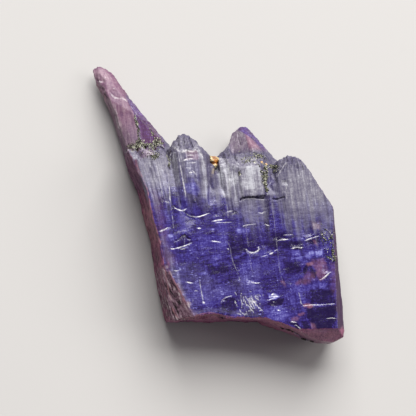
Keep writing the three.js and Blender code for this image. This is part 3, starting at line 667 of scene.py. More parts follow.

# Darker patches of painted shade, where the light runs on into the crystal.
PAINTED_SHADE_PATCHES = [
    (0.60, 0.16, seen([(220, 303), (225, 298), (232, 297), (237, 302), (236, 309), (230, 313), (223, 311)])),
    (1.00, 0.12, [(2.30, -9.45), (3.04, -9.28)] + seen([(283, 299)]) + [(3.41, -9.72)] + seen([(272, 306)])),
    (0.85, 0.15, seen([(306, 309), (313, 307), (335, 306), (337, 312), (336, 320), (330, 328), (316, 330),
            (309, 322)])),
    (1.00, 0.12, seen([(322, 307), (336, 306), (336, 317), (324, 318)])),
    (0.65, 0.15, seen([(311, 291), (318, 289), (334, 290), (335, 303), (312, 304)])),
    (1.00, 0.05, seen([(303, 273), (304, 267), (308, 263), (311, 266), (307, 271), (305, 275)])),
    (0.80, 0.08, seen([(311, 268), (316, 272), (316, 278), (311, 277)])),
    (0.50, 0.12, seen([(280, 241), (304, 241), (302, 249), (281, 249)])),
    (0.55, 0.12, seen([(284, 261), (302, 262), (300, 272), (286, 273)])),
    (0.90, 0.05, seen([(306, 242), (312, 239.8), (319, 238.6), (320, 242), (312, 244)])),
    (0.50, 0.40, seen([(226, 234), (246, 236), (262, 240), (264, 248), (248, 249), (246, 256), (238, 266),
            (234, 264), (231, 250)])),
    (0.50, 0.15, seen([(206, 264), (226, 262), (229, 272), (210, 275)])),
    (1.00, 0.04, seen([(182, 236), (184, 234.5), (186, 236.5), (183, 238)])),
    (0.70, 0.06, seen([(232, 210), (238, 210), (238, 215), (233, 214)])),
    (0.80, 0.08, seen([(290, 323), (296, 322), (300, 328), (298, 332), (290, 330)])),
    (0.80, 0.08, seen([(301, 321), (308, 321), (311, 328), (304, 330)])),
    (0.50, 0.12, seen([(240, 306), (258, 310), (262, 318), (246, 318)])),
    (0.20, 0.25, seen([(200, 204), (224, 204), (224, 214), (202, 212)])),
    (0.20, 0.25, seen([(186, 196), (202, 198), (206, 210), (188, 212)])),
    (0.40, 0.20, seen([(262, 232), (286, 232), (286, 247), (264, 247)])),
    (0.60, 0.08, seen([(263, 196), (269, 194), (270, 232), (265, 232)])),
]

# Pink patches, where the crystal is seen along its other colour; in the clear lower right, they are painted
# pink reflections.
ROSE = [
    (0.35, 0.20, [(-7.0, 5.4), (-5.6, 5.3), (-5.7, 4.7), (-6.9, 4.5)]),
    (0.55, 0.15, seen([(313, 259), (323, 258), (327, 264), (329, 271), (325, 277), (320, 281), (317, 277),
            (316, 270), (312, 264)])),
    (0.75, 0.15, seen([(317, 265), (323, 265), (323, 272), (318, 272)])),
    (0.80, 0.10, seen([(306, 264), (312, 262), (317, 261), (316, 263), (308, 266)])),
    (0.40, 0.20, seen([(302, 281), (304, 275), (308, 271), (313, 272), (316, 279), (309, 283)])),
    (0.55, 0.15, seen([(295, 283), (300, 279), (306, 280), (307, 284), (296, 285)])),
    (1.00, 0.06, seen([(303, 304), (310, 304), (313, 306), (309, 308), (304, 307)])),
    (0.80, 0.06, seen([(298, 314.5), (304, 312.5), (305, 314), (300, 316)])),
    (0.50, 0.10, seen([(290, 318), (296, 317), (300, 318), (298, 320), (291, 321)])),
    (0.60, 0.10, seen([(310, 322), (314, 323), (316, 330), (312, 331)])),
    (0.90, 0.12, seen([(301, 333), (312, 331), (324, 333), (334, 331), (343, 326)]) + [(9.0, -13.5),
            (5.5, -13.5)]),
    (0.25, 0.30, seen([(330, 262)]) + [(9.5, -6.66), (9.5, -12.2)] + seen([(339, 327), (336, 300),
            (331, 285)])),
    (0.45, 0.20, seen([(312, 222), (320, 222), (320, 229), (313, 229)])),
    (0.60, 0.06, seen([(313, 240), (316, 240), (318, 246), (314, 245)])),
    (0.50, 0.05, seen([(281, 281), (284, 281), (287, 287), (285, 288)])),
    (0.45, 0.10, seen([(185, 151), (197, 151), (199, 160), (186, 160)])),
    (0.22, 0.45, [(-6.4, 1.6), (-5.6, 0.9), (-5.6, -3.2), (-5.2, -4.9), (-5.7, -5.5), (-6.3, -4.4)]),
]

# Chalky patches of the frosted tops.
CHALK = [
    (0.85, 0.18, seen([(240, 166), (259, 164), (262, 176), (261, 186), (250, 191), (240.5, 189.5)])),
    (0.45, 0.20, [(0.20, 3.70), (3.33, 3.30)] + seen([(264, 197), (240, 197)]) + [(0.10, 1.00)]),
    (0.80, 0.20, seen([(227, 172), (239, 172), (239, 184), (230, 187), (226, 182)])),
    (0.60, 0.10, seen([(171.4, 144.3), (176.4, 142.9), (183.6, 151.4), (190.7, 150), (196.4, 142.9),
            (200.7, 151.4), (203.6, 158.6), (199.3, 155.7), (195, 152.1), (186.4, 152.9), (177.9, 152.9),
            (172.1, 147.1)])),
    (0.45, 0.15, seen([(178.6, 154.3), (185, 155), (186.5, 180), (186.4, 199), (183.5, 200), (180, 170)])),
    (0.85, 0.20, [(-3.00, 4.40)] + seen([(198.6, 153)]) + [(-2.14, 2.30), (-3.25, 2.30)]),
    (0.75, 0.20, [(-4.45, 4.90), (-3.80, 4.60), (-3.75, 1.50), (-4.30, 1.50)]),
    (0.22, 0.60, [(-6.1, -4.8), (-3.1, -5.2), (-1.5, -7.4), (2.1, -5.9), (1.9, -8.3), (-2.3, -8.6),
            (-4.6, -9.3), (-5.4, -8.2)]),
    (0.35, 0.15, seen([(247, 133), (256, 143), (259, 152), (251, 152), (247, 145)])),
    (0.50, 0.12, seen([(233, 187), (240, 189), (240, 204), (234, 203)])),
    (0.80, 0.08, seen([(281, 180), (287, 180), (288, 186), (282, 185)])),
    (0.70, 0.15, seen([(201, 158), (205, 160), (209, 190), (207, 200), (202, 198), (202, 178)])),
    (0.60, 0.15, seen([(125, 152), (135, 150), (140, 158), (134, 160), (126, 158)])),
    (0.50, 0.15, seen([(140, 148), (156, 150), (156, 156), (146, 156)])),
    (0.60, 0.10, seen([(312, 222), (320, 222), (320, 229), (313, 229)])),
    (0.90, 0.06, seen([(187, 174), (192, 173), (196, 176), (198, 182), (195, 182), (192, 177), (188, 176)])),
    (0.32, 0.40, [(5.0, 2.0), (7.2, 1.9), (8.7, -1.4), (8.5, -2.6), (7.0, -2.0), (5.6, -1.4)]),
    (0.30, 0.40, [(-7.3, 5.0), (-4.6, 4.8), (-4.6, 1.2), (-6.6, 0.6)]),
    (0.25, 0.20, [(-3.9, 5.4), (-2.8, 6.4), (-1.8, 5.3), (-2.0, 4.4), (-3.7, 4.4)]),
    (0.60, 0.30, [(-9.6, 13.2), (-8.4, 13.0), (-7.9, 12.2), (-8.4, 11.6), (-9.3, 12.0)]),
    (0.50, 0.10, seen([(234, 204), (239, 203), (239, 206), (235, 206)])),
    (0.85, 0.15, [(-0.10, 3.80), (0.64, 3.70), (0.40, 0.00), (-0.43, 0.20)] + seen([(218, 175)])),
    (0.40, 0.35, [(-6.3, -2.5), (-5.9, -2.5), (-5.0, -6.0), (-4.4, -8.6), (-4.3, -9.4), (-4.9, -9.0),
            (-5.9, -5.5)]),
    (0.30, 0.15, [(-4.6, -9.3), (-3.0, -9.1), (-0.2, -9.8), (1.8, -10.3), (1.7, -10.7), (-0.3, -10.2),
            (-3.0, -9.5), (-4.6, -9.7)]),
    (0.22, 0.30, [(-0.1, -8.3), (1.6, -8.5), (1.9, -9.9), (0.9, -10.2), (-0.2, -9.9)]),
]


def between(table, along):
    """The value of a table of (along, value) pairs, interpolated."""
    places, values = np.array(table).T
    return np.interp(along, places, values)


painted_light = patches_at(PAINTED_LIGHT_PATCHES)
painted_shade = patches_at(PAINTED_SHADE_PATCHES)
rose = patches_at(ROSE)
chalk_and_painted_light = patches_at(CHALK)

above = y - between(FROST_EDGE, x)
streak = layered(skin, (0.26, 4.5, 0.26), 71)
frosting = ramp(above + 1.3 * streak + 0.7 * unevenness(skin, (0.7, 0.7, 0.7), 75), -3.2, 1.6)

# The fang's ridge: (y, x) pairs going up. Left of it the fang is rose, right of it deep violet.
FANG_RIDGE = [(4.8, -6.35), (6.6, -6.44), (7.5, -6.42), (8.4, -6.55), (9.2, -6.70), (10.2, -7.05)]
fang = ramp(-x, 4.0, 4.4) * ramp(y, 5.2, 5.8) * ramp(5.2 - z, 0, 0.6)
fang_right = fang * ramp(x - between(FANG_RIDGE, y), -0.05, 0.08) * ramp(-y + 0.4 * ragged, -10.9, -9.6)
peak = ramp(y, 3.8, 4.6) * ramp(x, 1.2, 1.8) * ramp(5.0 - z, 0, 0.5)
peak_left = peak * ramp(3.0 - x, 0.0, 0.15)
PEAK_EDGE = [(3.2, 4.78), (5.0, 3.60), (5.8, 2.85), (6.3, 2.40)]
peak_rim = peak * ramp(x - between(PEAK_EDGE, y), -0.05, 0.15)

# The front edge of the left wall: (y, x) pairs going up.
WALL_EDGE = [(-13.4, -3.5), (-9.7, -4.5), (-5.1, -5.6), (-4.2, -6.1), (-3.0, -6.3), (-1.7, -6.45),
             (0.8, -6.75), (3.2, -7.2)]
beyond_wall_edge = ramp(between(WALL_EDGE, y) - x + 3 * np.clip(4.8 - z, 0, 1), -0.08, 0.10)
left_wall = ramp(-facing[:, 0], 0.30, 0.6) * beyond_wall_edge * ramp(-y + 0.8 * ragged, -8.0, -3.8)
upper_wall = left_wall * ramp(y, 1.4, 3.0)
right_wall = ramp(facing[:, 0], 0.45, 0.8) * ramp(x, 7.5, 8.5)
right_bevel = ramp(facing[:, 0], 0.25, 0.5) * ramp(x, 7.6, 8.4) * ramp(-y, 3.0, 4.0)

# The front edge of the broken base: (x, y) pairs from left to right.
BASE_EDGE = [(-9.5, -9.7), (-4.3, -9.75), (-3.0, -9.6), (-2.5, -9.7), (-1.2, -10.2), (0.8, -10.6),
             (1.9, -10.8), (2.7, -11.1), (3.5, -11.5), (4.4, -12.0), (5.0, -12.4), (9.5, -12.4)]
broken_base = ramp(-facing[:, 1], 0.25, 0.6) * ramp(-y, 7.0, 9.0)
broken_base = np.maximum(broken_base, ramp(between(BASE_EDGE, x) - y, 0.0, 0.12))
base_patches = ramp(unevenness(skin, (2.4, 2.4, 1.6), 63), -0.6, 0.6)
corner = ramp(x + 0.6 * ragged, 3.8, 5.6)

# The bevel beside the left wall, low down, with fibres that run down and to the right.
BEVEL_EDGE = [(-10.0, -4.1), (-9.2, -4.45), (-8.2, -4.95), (-7.1, -5.35), (-6.1, -5.75), (-5.2, -6.05)]
FIBRE_LEAN = math.radians(20)
bevel = ramp(between(BEVEL_EDGE, y) - x + 0.22 * ragged, -0.35, 0.22)
bevel *= ramp(-y, 4.8, 5.4) * ramp(facing[:, 2], 0.1, 0.4)
across = x * math.cos(FIBRE_LEAN) + y * math.sin(FIBRE_LEAN)
along = y * math.cos(FIBRE_LEAN) - x * math.sin(FIBRE_LEAN)
fibre = 0.5 + 0.6 * layered(np.stack((across, along, z), axis=1), (0.10, 0.60, 0.12), 101)
fibre -= 0.6 * marks(skin, front, DIRT)

rose = np.maximum.reduce([
    rose * (0.6 + 0.4 * ramp(ragged, -0.8, 0.6)),
    (0.42 + 0.30 * ramp(y, 6.0, 8.8)) * (fang - fang_right),
    0.36 * fang_right,
    0.75 * (peak - peak_left) * (1 - 0.7 * peak_rim),
    0.25 * peak_left,
    0.22 * np.maximum(right_wall, right_bevel),
    (0.40 + 0.35 * ramp(ragged, -0.8, 0.8)) * broken_base * corner,
    0.60 * upper_wall,
])
base_wine = broken_base * (0.65 + 0.25 * base_patches - 0.35 * corner)
wine = np.maximum(left_wall - 0.7 * upper_wall, base_wine)
# The same mask also lightens the upper part of the fang's right facet a little.
painted_light = np.maximum(painted_light, 0.10 * fang_right * ramp(y, 7.5, 9.0))
# Painted shade on the right wall and its bevel, which face the lamp on the right; the fang's right facet is
# also made darker towards its foot.
fang_foot_darkening = 0.4 * fang_right * ramp(-y, -8.5, -7.5)
painted_shade = np.maximum.reduce([painted_shade, 0.9 * right_bevel, 0.7 * right_wall, fang_foot_darkening])
# The fang's flank that faces left, away from the lamps, is lightened with painted light.
chalk_and_painted_light = np.maximum.reduce([chalk_and_painted_light, 0.45 * fang * ramp(-facing[:, 0], 0.2, 0.6), 0.4 * peak_left])
frosting = np.maximum(0.05 + 0.95 * frosting, 0.9 * chalk_and_painted_light) * (1 - 0.95 * fang_right) * (1 - 0.9 * peak_rim)
frosting *= 1 - 0.6 * np.maximum(painted_light, painted_shade)


def keep_values(piece, name, values):
    layer = piece.data.attributes.new(name, "FLOAT", "POINT")
    layer.data.foreach_set("value", values.astype(np.float32))


dull = np.maximum.reduce([
    left_wall,
    broken_base * (0.6 - 0.4 * corner),
    0.9 * right_wall,
    0.6 * right_bevel,
    bevel,
])
# Painted highlights of the glints, together with the pale scratches and seams.
painted_glints_and_pale_marks = np.maximum.reduce([marks(skin, front, table) for table in (GLINTS, SCRATCHES, SEAMS)])
almost_front = ramp(facing[:, 2], -0.1, 0.3)
for name, values in (
    ("frosting", frosting),
    ("painted_light", painted_light),
    ("chalk_and_painted_light", chalk_and_painted_light),
    ("painted_shade", painted_shade),
    ("rose", rose),
    ("wine", wine),
    ("base_end", broken_base),
    ("bevel", bevel),
    ("fibre", fibre),
    ("dull", dull),
    ("painted_glints_and_pale_marks", painted_glints_and_pale_marks),
    ("rim", marks(skin, almost_front, RIMS)),
    ("crack", marks(skin, front, CRACKS)),
    ("stain", marks(skin, almost_front, STAINS)),
):
    keep_values(crystal, name, values)
crystal.data.transform(Matrix.Scale(MM, 4))


def texture_group():
    """Growth texture: fine streaks along the axis, fine rungs across it, soft patches and dust."""
    group = bpy.data.node_groups.new("growth_texture", "ShaderNodeTree")
    for name, size in (
        ("Streak Width", 0.00013),
        ("Column Width", 0.00042),
        ("Rung Height", 0.00010),
        ("Patch Size", 0.0008),
        ("Dust Size", 0.00013),
        ("Speck Size", 0.00016),
    ):
        group.interface.new_socket(name, in_out="INPUT", socket_type="NodeSocketFloat").default_value = size
    for name in ("Streaks", "Columns", "Rungs", "Patches", "Dust", "Specks"):
        group.interface.new_socket(name, in_out="OUTPUT", socket_type="NodeSocketFloat")
    entry = group.nodes.new("NodeGroupInput")
    leave = group.nodes.new("NodeGroupOutput")
    place = group.nodes.new("ShaderNodeTexCoord")
    for name, source, stretch, detail, low, high in (
        ("Streaks", "Streak Width", (1, 16, 1), 3, 0.30, 0.70),
        ("Columns", "Column Width", (1, 12, 1), 2, 0.32, 0.68),
        ("Rungs", "Rung Height", (10, 1, 10), 3, 0.30, 0.70),
        ("Patches", "Patch Size", (1.2, 0.8, 1.2), 4, 0.30, 0.70),
        ("Dust", "Dust Size", (1, 1, 1), 2, 0.30, 0.70),
        ("Specks", "Speck Size", (1.5, 1, 1), 1, 0.66, 0.76),
    ):
        size = group.nodes.new("ShaderNodeVectorMath")
        size.operation = "SCALE"
        size.inputs[0].default_value = stretch
        group.links.new(entry.outputs[source], size.inputs["Scale"])
        share = group.nodes.new("ShaderNodeVectorMath")
        share.operation = "DIVIDE"
        group.links.new(place.outputs["Object"], share.inputs[0])
        group.links.new(size.outputs[0], share.inputs[1])
        noise = group.nodes.new("ShaderNodeTexNoise")
        noise.inputs["Scale"].default_value = 1
        noise.inputs["Detail"].default_value = detail
        noise.inputs["Roughness"].default_value = 0.6
        noise.inputs["Distortion"].default_value = 0.2
        group.links.new(share.outputs[0], noise.inputs["Vector"])
        spread = group.nodes.new("ShaderNodeMapRange")
        group.links.new(noise.outputs["Fac"], spread.inputs["Value"])
        spread.inputs["From Min"].default_value = low
        spread.inputs["From Max"].default_value = high
        group.links.new(spread.outputs["Result"], leave.inputs[name])
    return group


class Finish:
    """A material under construction: short calls for the nodes it is made of."""

    def __init__(self, name):
        self.material = bpy.data.materials.new(name)
        self.material.use_nodes = True
        self.tree = self.material.node_tree
        self.shader = self.tree.nodes["Principled BSDF"]

    def put(self, socket, value):
        if isinstance(value, bpy.types.NodeSocket):
            self.tree.links.new(value, socket)
        else:
            socket.default_value = value

    def texture(self, sizes):
        """The outputs of the growth texture, by name, with some of its sizes changed."""
        node = self.tree.nodes.new("ShaderNodeGroup")
        node.node_tree = growth_texture
        for name, size in sizes.items():
            node.inputs[name].default_value = size
        return node.outputs

    def read(self, name):
        node = self.tree.nodes.new("ShaderNodeAttribute")
        node.attribute_name = name
        return node.outputs["Fac"]

    def sum(self, start, *terms):
        """start plus each (value, weight) in turn, kept between 0 and 1."""
        total = start
        for value, weight in terms:
            node = self.tree.nodes.new("ShaderNodeMath")
            node.operation = "MULTIPLY_ADD"
            self.put(node.inputs[0], value)
            self.put(node.inputs[1], weight)
            self.put(node.inputs[2], total)
            total = node.outputs[0]
        node.use_clamp = True
        return total

    def shades(self, value, *stops):
        node = self.tree.nodes.new("ShaderNodeValToRGB")
        self.put(node.inputs["Fac"], value)
        stripe = node.color_ramp
        while len(stripe.elements) < len(stops):
            stripe.elements.new(0.5)
        for element, (place, colour) in zip(stripe.elements, stops):
            element.position = place
            element.color = (*colour, 1)
        return node.outputs["Color"]

    def blend(self, factor, low, high):
        node = self.tree.nodes.new("ShaderNodeMix")
        node.data_type = "RGBA"
        self.put(node.inputs["Factor"], factor)
        self.put(node.inputs[6], low)
        self.put(node.inputs[7], high)
        return node.outputs[2]


growth_texture = texture_group()
gem = Finish("tanzanite")
gem.shader.inputs["IOR"].default_value = 1.69
gem.shader.inputs["Transmission Weight"].default_value = 0.33
gem.shader.inputs["Specular IOR Level"].default_value = 0.15
absorb = gem.tree.nodes.new("ShaderNodeVolumeAbsorption")
absorb.inputs["Color"].default_value = (0.30, 0.22, 0.62, 1)
absorb.inputs["Density"].default_value = 450
gem.tree.links.new(absorb.outputs["Volume"], gem.tree.nodes["Material Output"].inputs["Volume"])
growth = gem.texture({})
# In the deep colour the specks are small painted sparkles of light, with pale crumbs among them; chalk makes
# them stronger.
streaks, pillars, rungs, patches, dust, painted_sparkles_and_crumbs = [
    growth[name] for name in ("Streaks", "Columns", "Rungs", "Patches", "Dust", "Specks")
]

# The deep colour is lighter under the painted light and darker under the painted shade.
deep_tone = gem.sum(-0.385, (patches, 0.42), (rungs, 0.30), (streaks, 0.20), (pillars, 0.14), (dust, 0.36),
                    (painted_sparkles_and_crumbs, gem.sum(0.45, (gem.read("chalk_and_painted_light"), 1.5))), (gem.read("painted_light"), 0.55),
                    (gem.read("painted_shade"), -0.55))
deep = gem.shades(deep_tone, (0.0, (0.010, 0.002, 0.050)), (0.25, (0.024, 0.009, 0.135)),
                  (0.5, (0.050, 0.034, 0.265)), (0.75, (0.115, 0.098, 0.41)), (1.0, (0.30, 0.30, 0.68)))
pale_tone = gem.sum(-0.30, (pillars, 0.28), (streaks, 0.36), (patches, 0.26), (rungs, 0.16), (dust, 0.28),
                    (gem.read("chalk_and_painted_light"), 0.55))
pale = gem.shades(pale_tone, (0.0, (0.036, 0.028, 0.090)), (0.3, (0.095, 0.082, 0.155)),
                  (0.65, (0.215, 0.20, 0.265)), (1.0, (0.54, 0.54, 0.60)))
pink_tone = gem.sum(0.02, (streaks, 0.28), (patches, 0.27), (dust, 0.22), (pillars, 0.18),
                    (gem.read("chalk_and_painted_light"), 0.35))
pink = gem.shades(pink_tone, (0.0, (0.065, 0.018, 0.085)), (0.5, (0.26, 0.105, 0.18)),
                  (1.0, (0.52, 0.33, 0.38)))
wine_tone = gem.sum(-0.32, (streaks, 0.75), (dust, 0.25), (patches, 0.60), (gem.read("base_end"), 0.42))
wine_shades = gem.shades(wine_tone, (0.0, (0.030, 0.005, 0.020)), (0.5, (0.18, 0.046, 0.105)),
                         (1.0, (0.58, 0.18, 0.30)))
fibre_tone = gem.sum(-0.10, (gem.read("fibre"), 0.95), (dust, 0.30))
fibre_shades = gem.shades(fibre_tone, (0.10, (0.015, 0.008, 0.012)), (0.40, (0.17, 0.080, 0.125)),
                          (0.70, (0.33, 0.205, 0.265)), (1.0, (0.58, 0.50, 0.50)))
base = gem.blend(gem.read("frosting"), deep, pale)
base = gem.blend(gem.read("rose"), base, pink)
base = gem.blend(gem.read("wine"), base, wine_shades)
base = gem.blend(gem.read("bevel"), base, fibre_shades)
base = gem.blend(gem.read("stain"), base, (0.62, 0.50, 0.28, 1))
# Painted pink light along the rims.
base = gem.blend(gem.read("rim"), base, (0.48, 0.22, 0.25, 1))
# Painted white highlights along the glints, and the pale scratches and seams, broken up by dust.
broken_glints_and_pale_marks = gem.sum(0.0, (gem.read("painted_glints_and_pale_marks"), gem.sum(0.25, (dust, 1.1))))
base = gem.blend(broken_glints_and_pale_marks, base, (0.90, 0.88, 0.88, 1))
base = gem.blend(gem.read("crack"), base, (0.02, 0.012, 0.01, 1))
gem.put(gem.shader.inputs["Base Color"], base)
gem.put(gem.shader.inputs["Roughness"], gem.sum(0.19, (gem.read("frosting"), 0.31), (gem.read("dull"), 0.50)))
ripple = gem.tree.nodes.new("ShaderNodeBump")
ripple.inputs["Distance"].default_value = 0.00002
ripple.inputs["Strength"].default_value = 0.5
gem.put(ripple.inputs["Height"], gem.sum(0.0, (streaks, 0.4), (rungs, 0.3), (dust, 0.3)))
gem.put(gem.shader.inputs["Normal"], ripple.outputs["Normal"])

crystal.data.materials.clear()
crystal.data.materials.append(gem.material)
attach(crystal, "root")
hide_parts("tanzanite_crystal")


# Crusts: small grains of calcite and graphite cemented into the hollows between the columns. Each crust
# is a thin bed that takes the crystal's tint, with clusters of loose-looking grains set on and beside it.
GRAIN_MM = 0.058
BED_PITCH = 0.05
BED_RELIEF = 0.03
SKY_HEIGHT = 9


def crust_finish():
    stone = Finish("calcite_graphite_crust")
    stone.shader.inputs["Roughness"].default_value = 0.7
    stone.shader.inputs["Specular IOR Level"].default_value = 0.3
    texture = stone.texture({"Dust Size": 0.00011, "Patch Size": 0.0003})
    tone = stone.sum(-0.40, (stone.read("grain_shade"), 0.95), (texture["Dust"], 0.4),
                     (texture["Patches"], 0.4))
    colour = stone.shades(tone, (0.0, (0.006, 0.006, 0.005)), (0.30, (0.035, 0.036, 0.026)),
                          (0.55, (0.13, 0.13, 0.088)), (0.78, (0.32, 0.32, 0.235)), (1.0, (0.66, 0.65, 0.54)))
    tint = stone.shades(tone, (0.0, (0.07, 0.055, 0.10)), (0.5, (0.19, 0.17, 0.23)),
                        (1.0, (0.40, 0.38, 0.42)))
    colour = stone.blend(stone.read("tint"), colour, tint)
    colour = stone.blend(stone.read("rusty"), colour, (0.56, 0.38, 0.20, 1))
    stone.put(stone.shader.inputs["Base Color"], colour)
    return stone.material


def grain_tree():
    """Puts one small angular grain at each point, each with its own size, turn and shade."""
    tree = bpy.data.node_groups.new("cemented_grains", "GeometryNodeTree")
    tree.interface.new_socket("Seats", in_out="INPUT", socket_type="NodeSocketGeometry")
    tree.interface.new_socket("Grain Radius", in_out="INPUT", socket_type="NodeSocketFloat")
    tree.interface.new_socket("Seed", in_out="INPUT", socket_type="NodeSocketInt")
    tree.interface.new_socket("Finish", in_out="INPUT", socket_type="NodeSocketMaterial")
    tree.interface.new_socket("Grains", in_out="OUTPUT", socket_type="NodeSocketGeometry")
    entry = tree.nodes.new("NodeGroupInput")
    leave = tree.nodes.new("NodeGroupOutput")
    link = tree.links.new
    lump = tree.nodes.new("GeometryNodeMeshIcoSphere")
    lump.inputs["Subdivisions"].default_value = 1
    link(entry.outputs["Grain Radius"], lump.inputs["Radius"])

    def chance(kind, low, high, shift):
        node = tree.nodes.new("FunctionNodeRandomValue")
        node.data_type = kind
        sockets = [i for i in node.inputs if i.enabled and i.name in ("Min", "Max")]
        sockets[0].default_value = low
        sockets[1].default_value = high
        seed = tree.nodes.new("ShaderNodeMath")
        seed.inputs[1].default_value = shift
        link(entry.outputs["Seed"], seed.inputs[0])
        link(seed.outputs[0], node.inputs["Seed"])
        return [o for o in node.outputs if o.enabled][0]

    seats = tree.nodes.new("GeometryNodeInstanceOnPoints")
    link(entry.outputs["Seats"], seats.inputs["Points"])
    link(lump.outputs["Mesh"], seats.inputs["Instance"])
    link(chance("FLOAT_VECTOR", (0, 0, 0), (6.3, 6.3, 6.3), 1), seats.inputs["Rotation"])
    link(chance("FLOAT_VECTOR", (0.45, 0.45, 0.35), (1.5, 1.2, 1.0), 2), seats.inputs["Scale"])
    shade = tree.nodes.new("GeometryNodeStoreNamedAttribute")
    shade.data_type = "FLOAT"
    shade.domain = "INSTANCE"
    shade.inputs["Name"].default_value = "grain_shade"
    link(seats.outputs["Instances"], shade.inputs["Geometry"])
    link(chance("FLOAT", 0.0, 1.0, 3), shade.inputs["Value"])
    real = tree.nodes.new("GeometryNodeRealizeInstances")
    link(shade.outputs["Geometry"], real.inputs["Geometry"])
    paint = tree.nodes.new("GeometryNodeSetMaterial")
    link(real.outputs["Geometry"], paint.inputs["Geometry"])
    link(entry.outputs["Finish"], paint.inputs["Material"])
    link(paint.outputs["Geometry"], leave.inputs["Grains"])
    return tree


grains_tree = grain_tree()
crust_material = crust_finish()


def grains_at(name, seats, radius, seed, material):
    """A mesh of grains, in millimetres, one at each of the seats."""
    mesh = bpy.data.meshes.new(name)
    mesh.from_pydata([tuple(p) for p in seats], [], [])
    piece = bpy.data.objects.new(name, mesh)
    bpy.context.scene.collection.objects.link(piece)
    strew = piece.modifiers.new("grains", "NODES")
    strew.node_group = grains_tree
    sockets = {i.name: i.identifier for i in grains_tree.interface.items_tree if i.item_type == "SOCKET"}
    strew[sockets["Grain Radius"]] = radius
    strew[sockets["Seed"]] = seed
    strew[sockets["Finish"]] = material
    applied(piece)
    return piece


def seats_on(mesh, count, rng):
    """Chance places spread evenly by area over a mesh of triangles."""
    mesh.calc_loop_triangles()
    places = points_of(mesh)
    faces = np.array([t.vertices for t in mesh.loop_triangles])
    a, b, c = places[faces[:, 0]], places[faces[:, 1]], places[faces[:, 2]]
    area = np.linalg.norm(np.cross(b - a, c - a), axis=1)
    chosen = rng.choice(len(faces), count, p=area / area.sum())
    u, v = rng.random((2, count, 1))
    flip = u + v > 1
    u, v = np.where(flip, 1 - u, u), np.where(flip, 1 - v, v)
    return a[chosen] + u * (b[chosen] - a[chosen]) + v * (c[chosen] - a[chosen])


skin_tree = solid_tree(crystal.data, MM)


def seats_along(trees, path, spread, count, rng):
    """Chance places beside a path of (x, y) places, on whichever of the surfaces is outermost there."""
    ends = np.array(path, float)
    lengths = np.hypot(*(ends[1:] - ends[:-1]).T)
    along = rng.random(count) * lengths.sum()
    starts = np.concatenate(([0], np.cumsum(lengths)))
    found = []
    for s in along:
        k = min(np.searchsorted(starts, s, "right") - 1, len(lengths) - 1)
        px, py = ends[k] + (ends[k + 1] - ends[k]) * (s - starts[k]) / lengths[k]
        px, py = rng.normal((px, py), spread)
        places = [tree.ray_cast(Vector((px, py, SKY_HEIGHT)), Vector((0, 0, -1)))[0] for tree in trees]
        places = [tuple(place) for place in places if place]
        if places:
            found.append(max(places, key=lambda place: place[2]))
    return found


# Each crust: how many grains lie in clusters on its bed, how large a part of the bed stays bare, how
# light its grains are, and where grains lie in rows: (spread, count, path).
CRUSTS = {
    "fang_foot_crust": (1500, 0.10, 1.0, [
        (0.17, 320, seen([(130, 147), (134, 148), (137, 146), (139, 143), (143, 145)])),
        (0.07, 40, seen([(143, 145), (148, 144), (152, 146)])),
        (0.19, 320, seen([(150, 148), (155, 145), (157, 141), (160, 143)])),
        (0.05, 30, seen([(160, 143), (163, 144)])),
        (0.035, 90, seen([(135, 115), (135, 120), (137, 126), (138, 133), (139, 140)])),
        (0.06, 45, seen([(150, 129), (153, 134), (155, 139)])),
        (0.13, 100, seen([(152, 156), (155, 157), (158, 154)])),
        (0.07, 60, [(-4.50, 4.7)] + seen([(169, 160), (169, 167)])),
        (0.40, 70, [(-7.0, 4.9), (-4.9, 4.9)]),
    ]),
    "hollow_crust": (1500, -0.25, 1.0, [
        (0.05, 25, seen([(261, 162), (265, 165)])),
        (0.05, 20, seen([(240, 171), (239, 176)])),
        (0.06, 50, seen([(243, 163), (248, 161), (255, 162), (260, 166)])),
        (0.06, 80, seen([(261, 170), (262, 176), (263, 182), (266, 188)])),
        (0.06, 60, seen([(266, 168), (267, 175), (266, 182)])),
        (0.15, 90, seen([(272, 166), (275, 168), (274, 172)])),
        (0.10, 70, seen([(254, 155), (262, 156), (266, 159)])),
        (0.30, 110, [(1.9, 3.3), (3.6, 3.4)]),
    ]),
    "right_edge_crust": (420, 0.25, 0.95, [
        (0.05, 30, seen([(322, 232), (323, 237), (327, 241)])),
        (0.05, 30, seen([(328, 240), (331, 237)]) + [(8.80, -4.23)]),
        (0.06, 30, seen([(327, 256), (331, 259)])),
        (0.06, 50, seen([(332, 254)]) + [(8.75, -6.32)] + seen([(335, 261)])),
        (0.35, 50, [(7.9, -4.0), (8.3, -5.4)]),
    ]),
    "base_crust": (500, 0.0, 0.55, []),
}

# Rust-stained grains in the crusts: their places, and how far the stain reaches round each.
RUSTY = seen([(262, 162), (266, 164), (288.5, 334)])
RUSTY_REACH = (0.16, 0.14, 0.25)

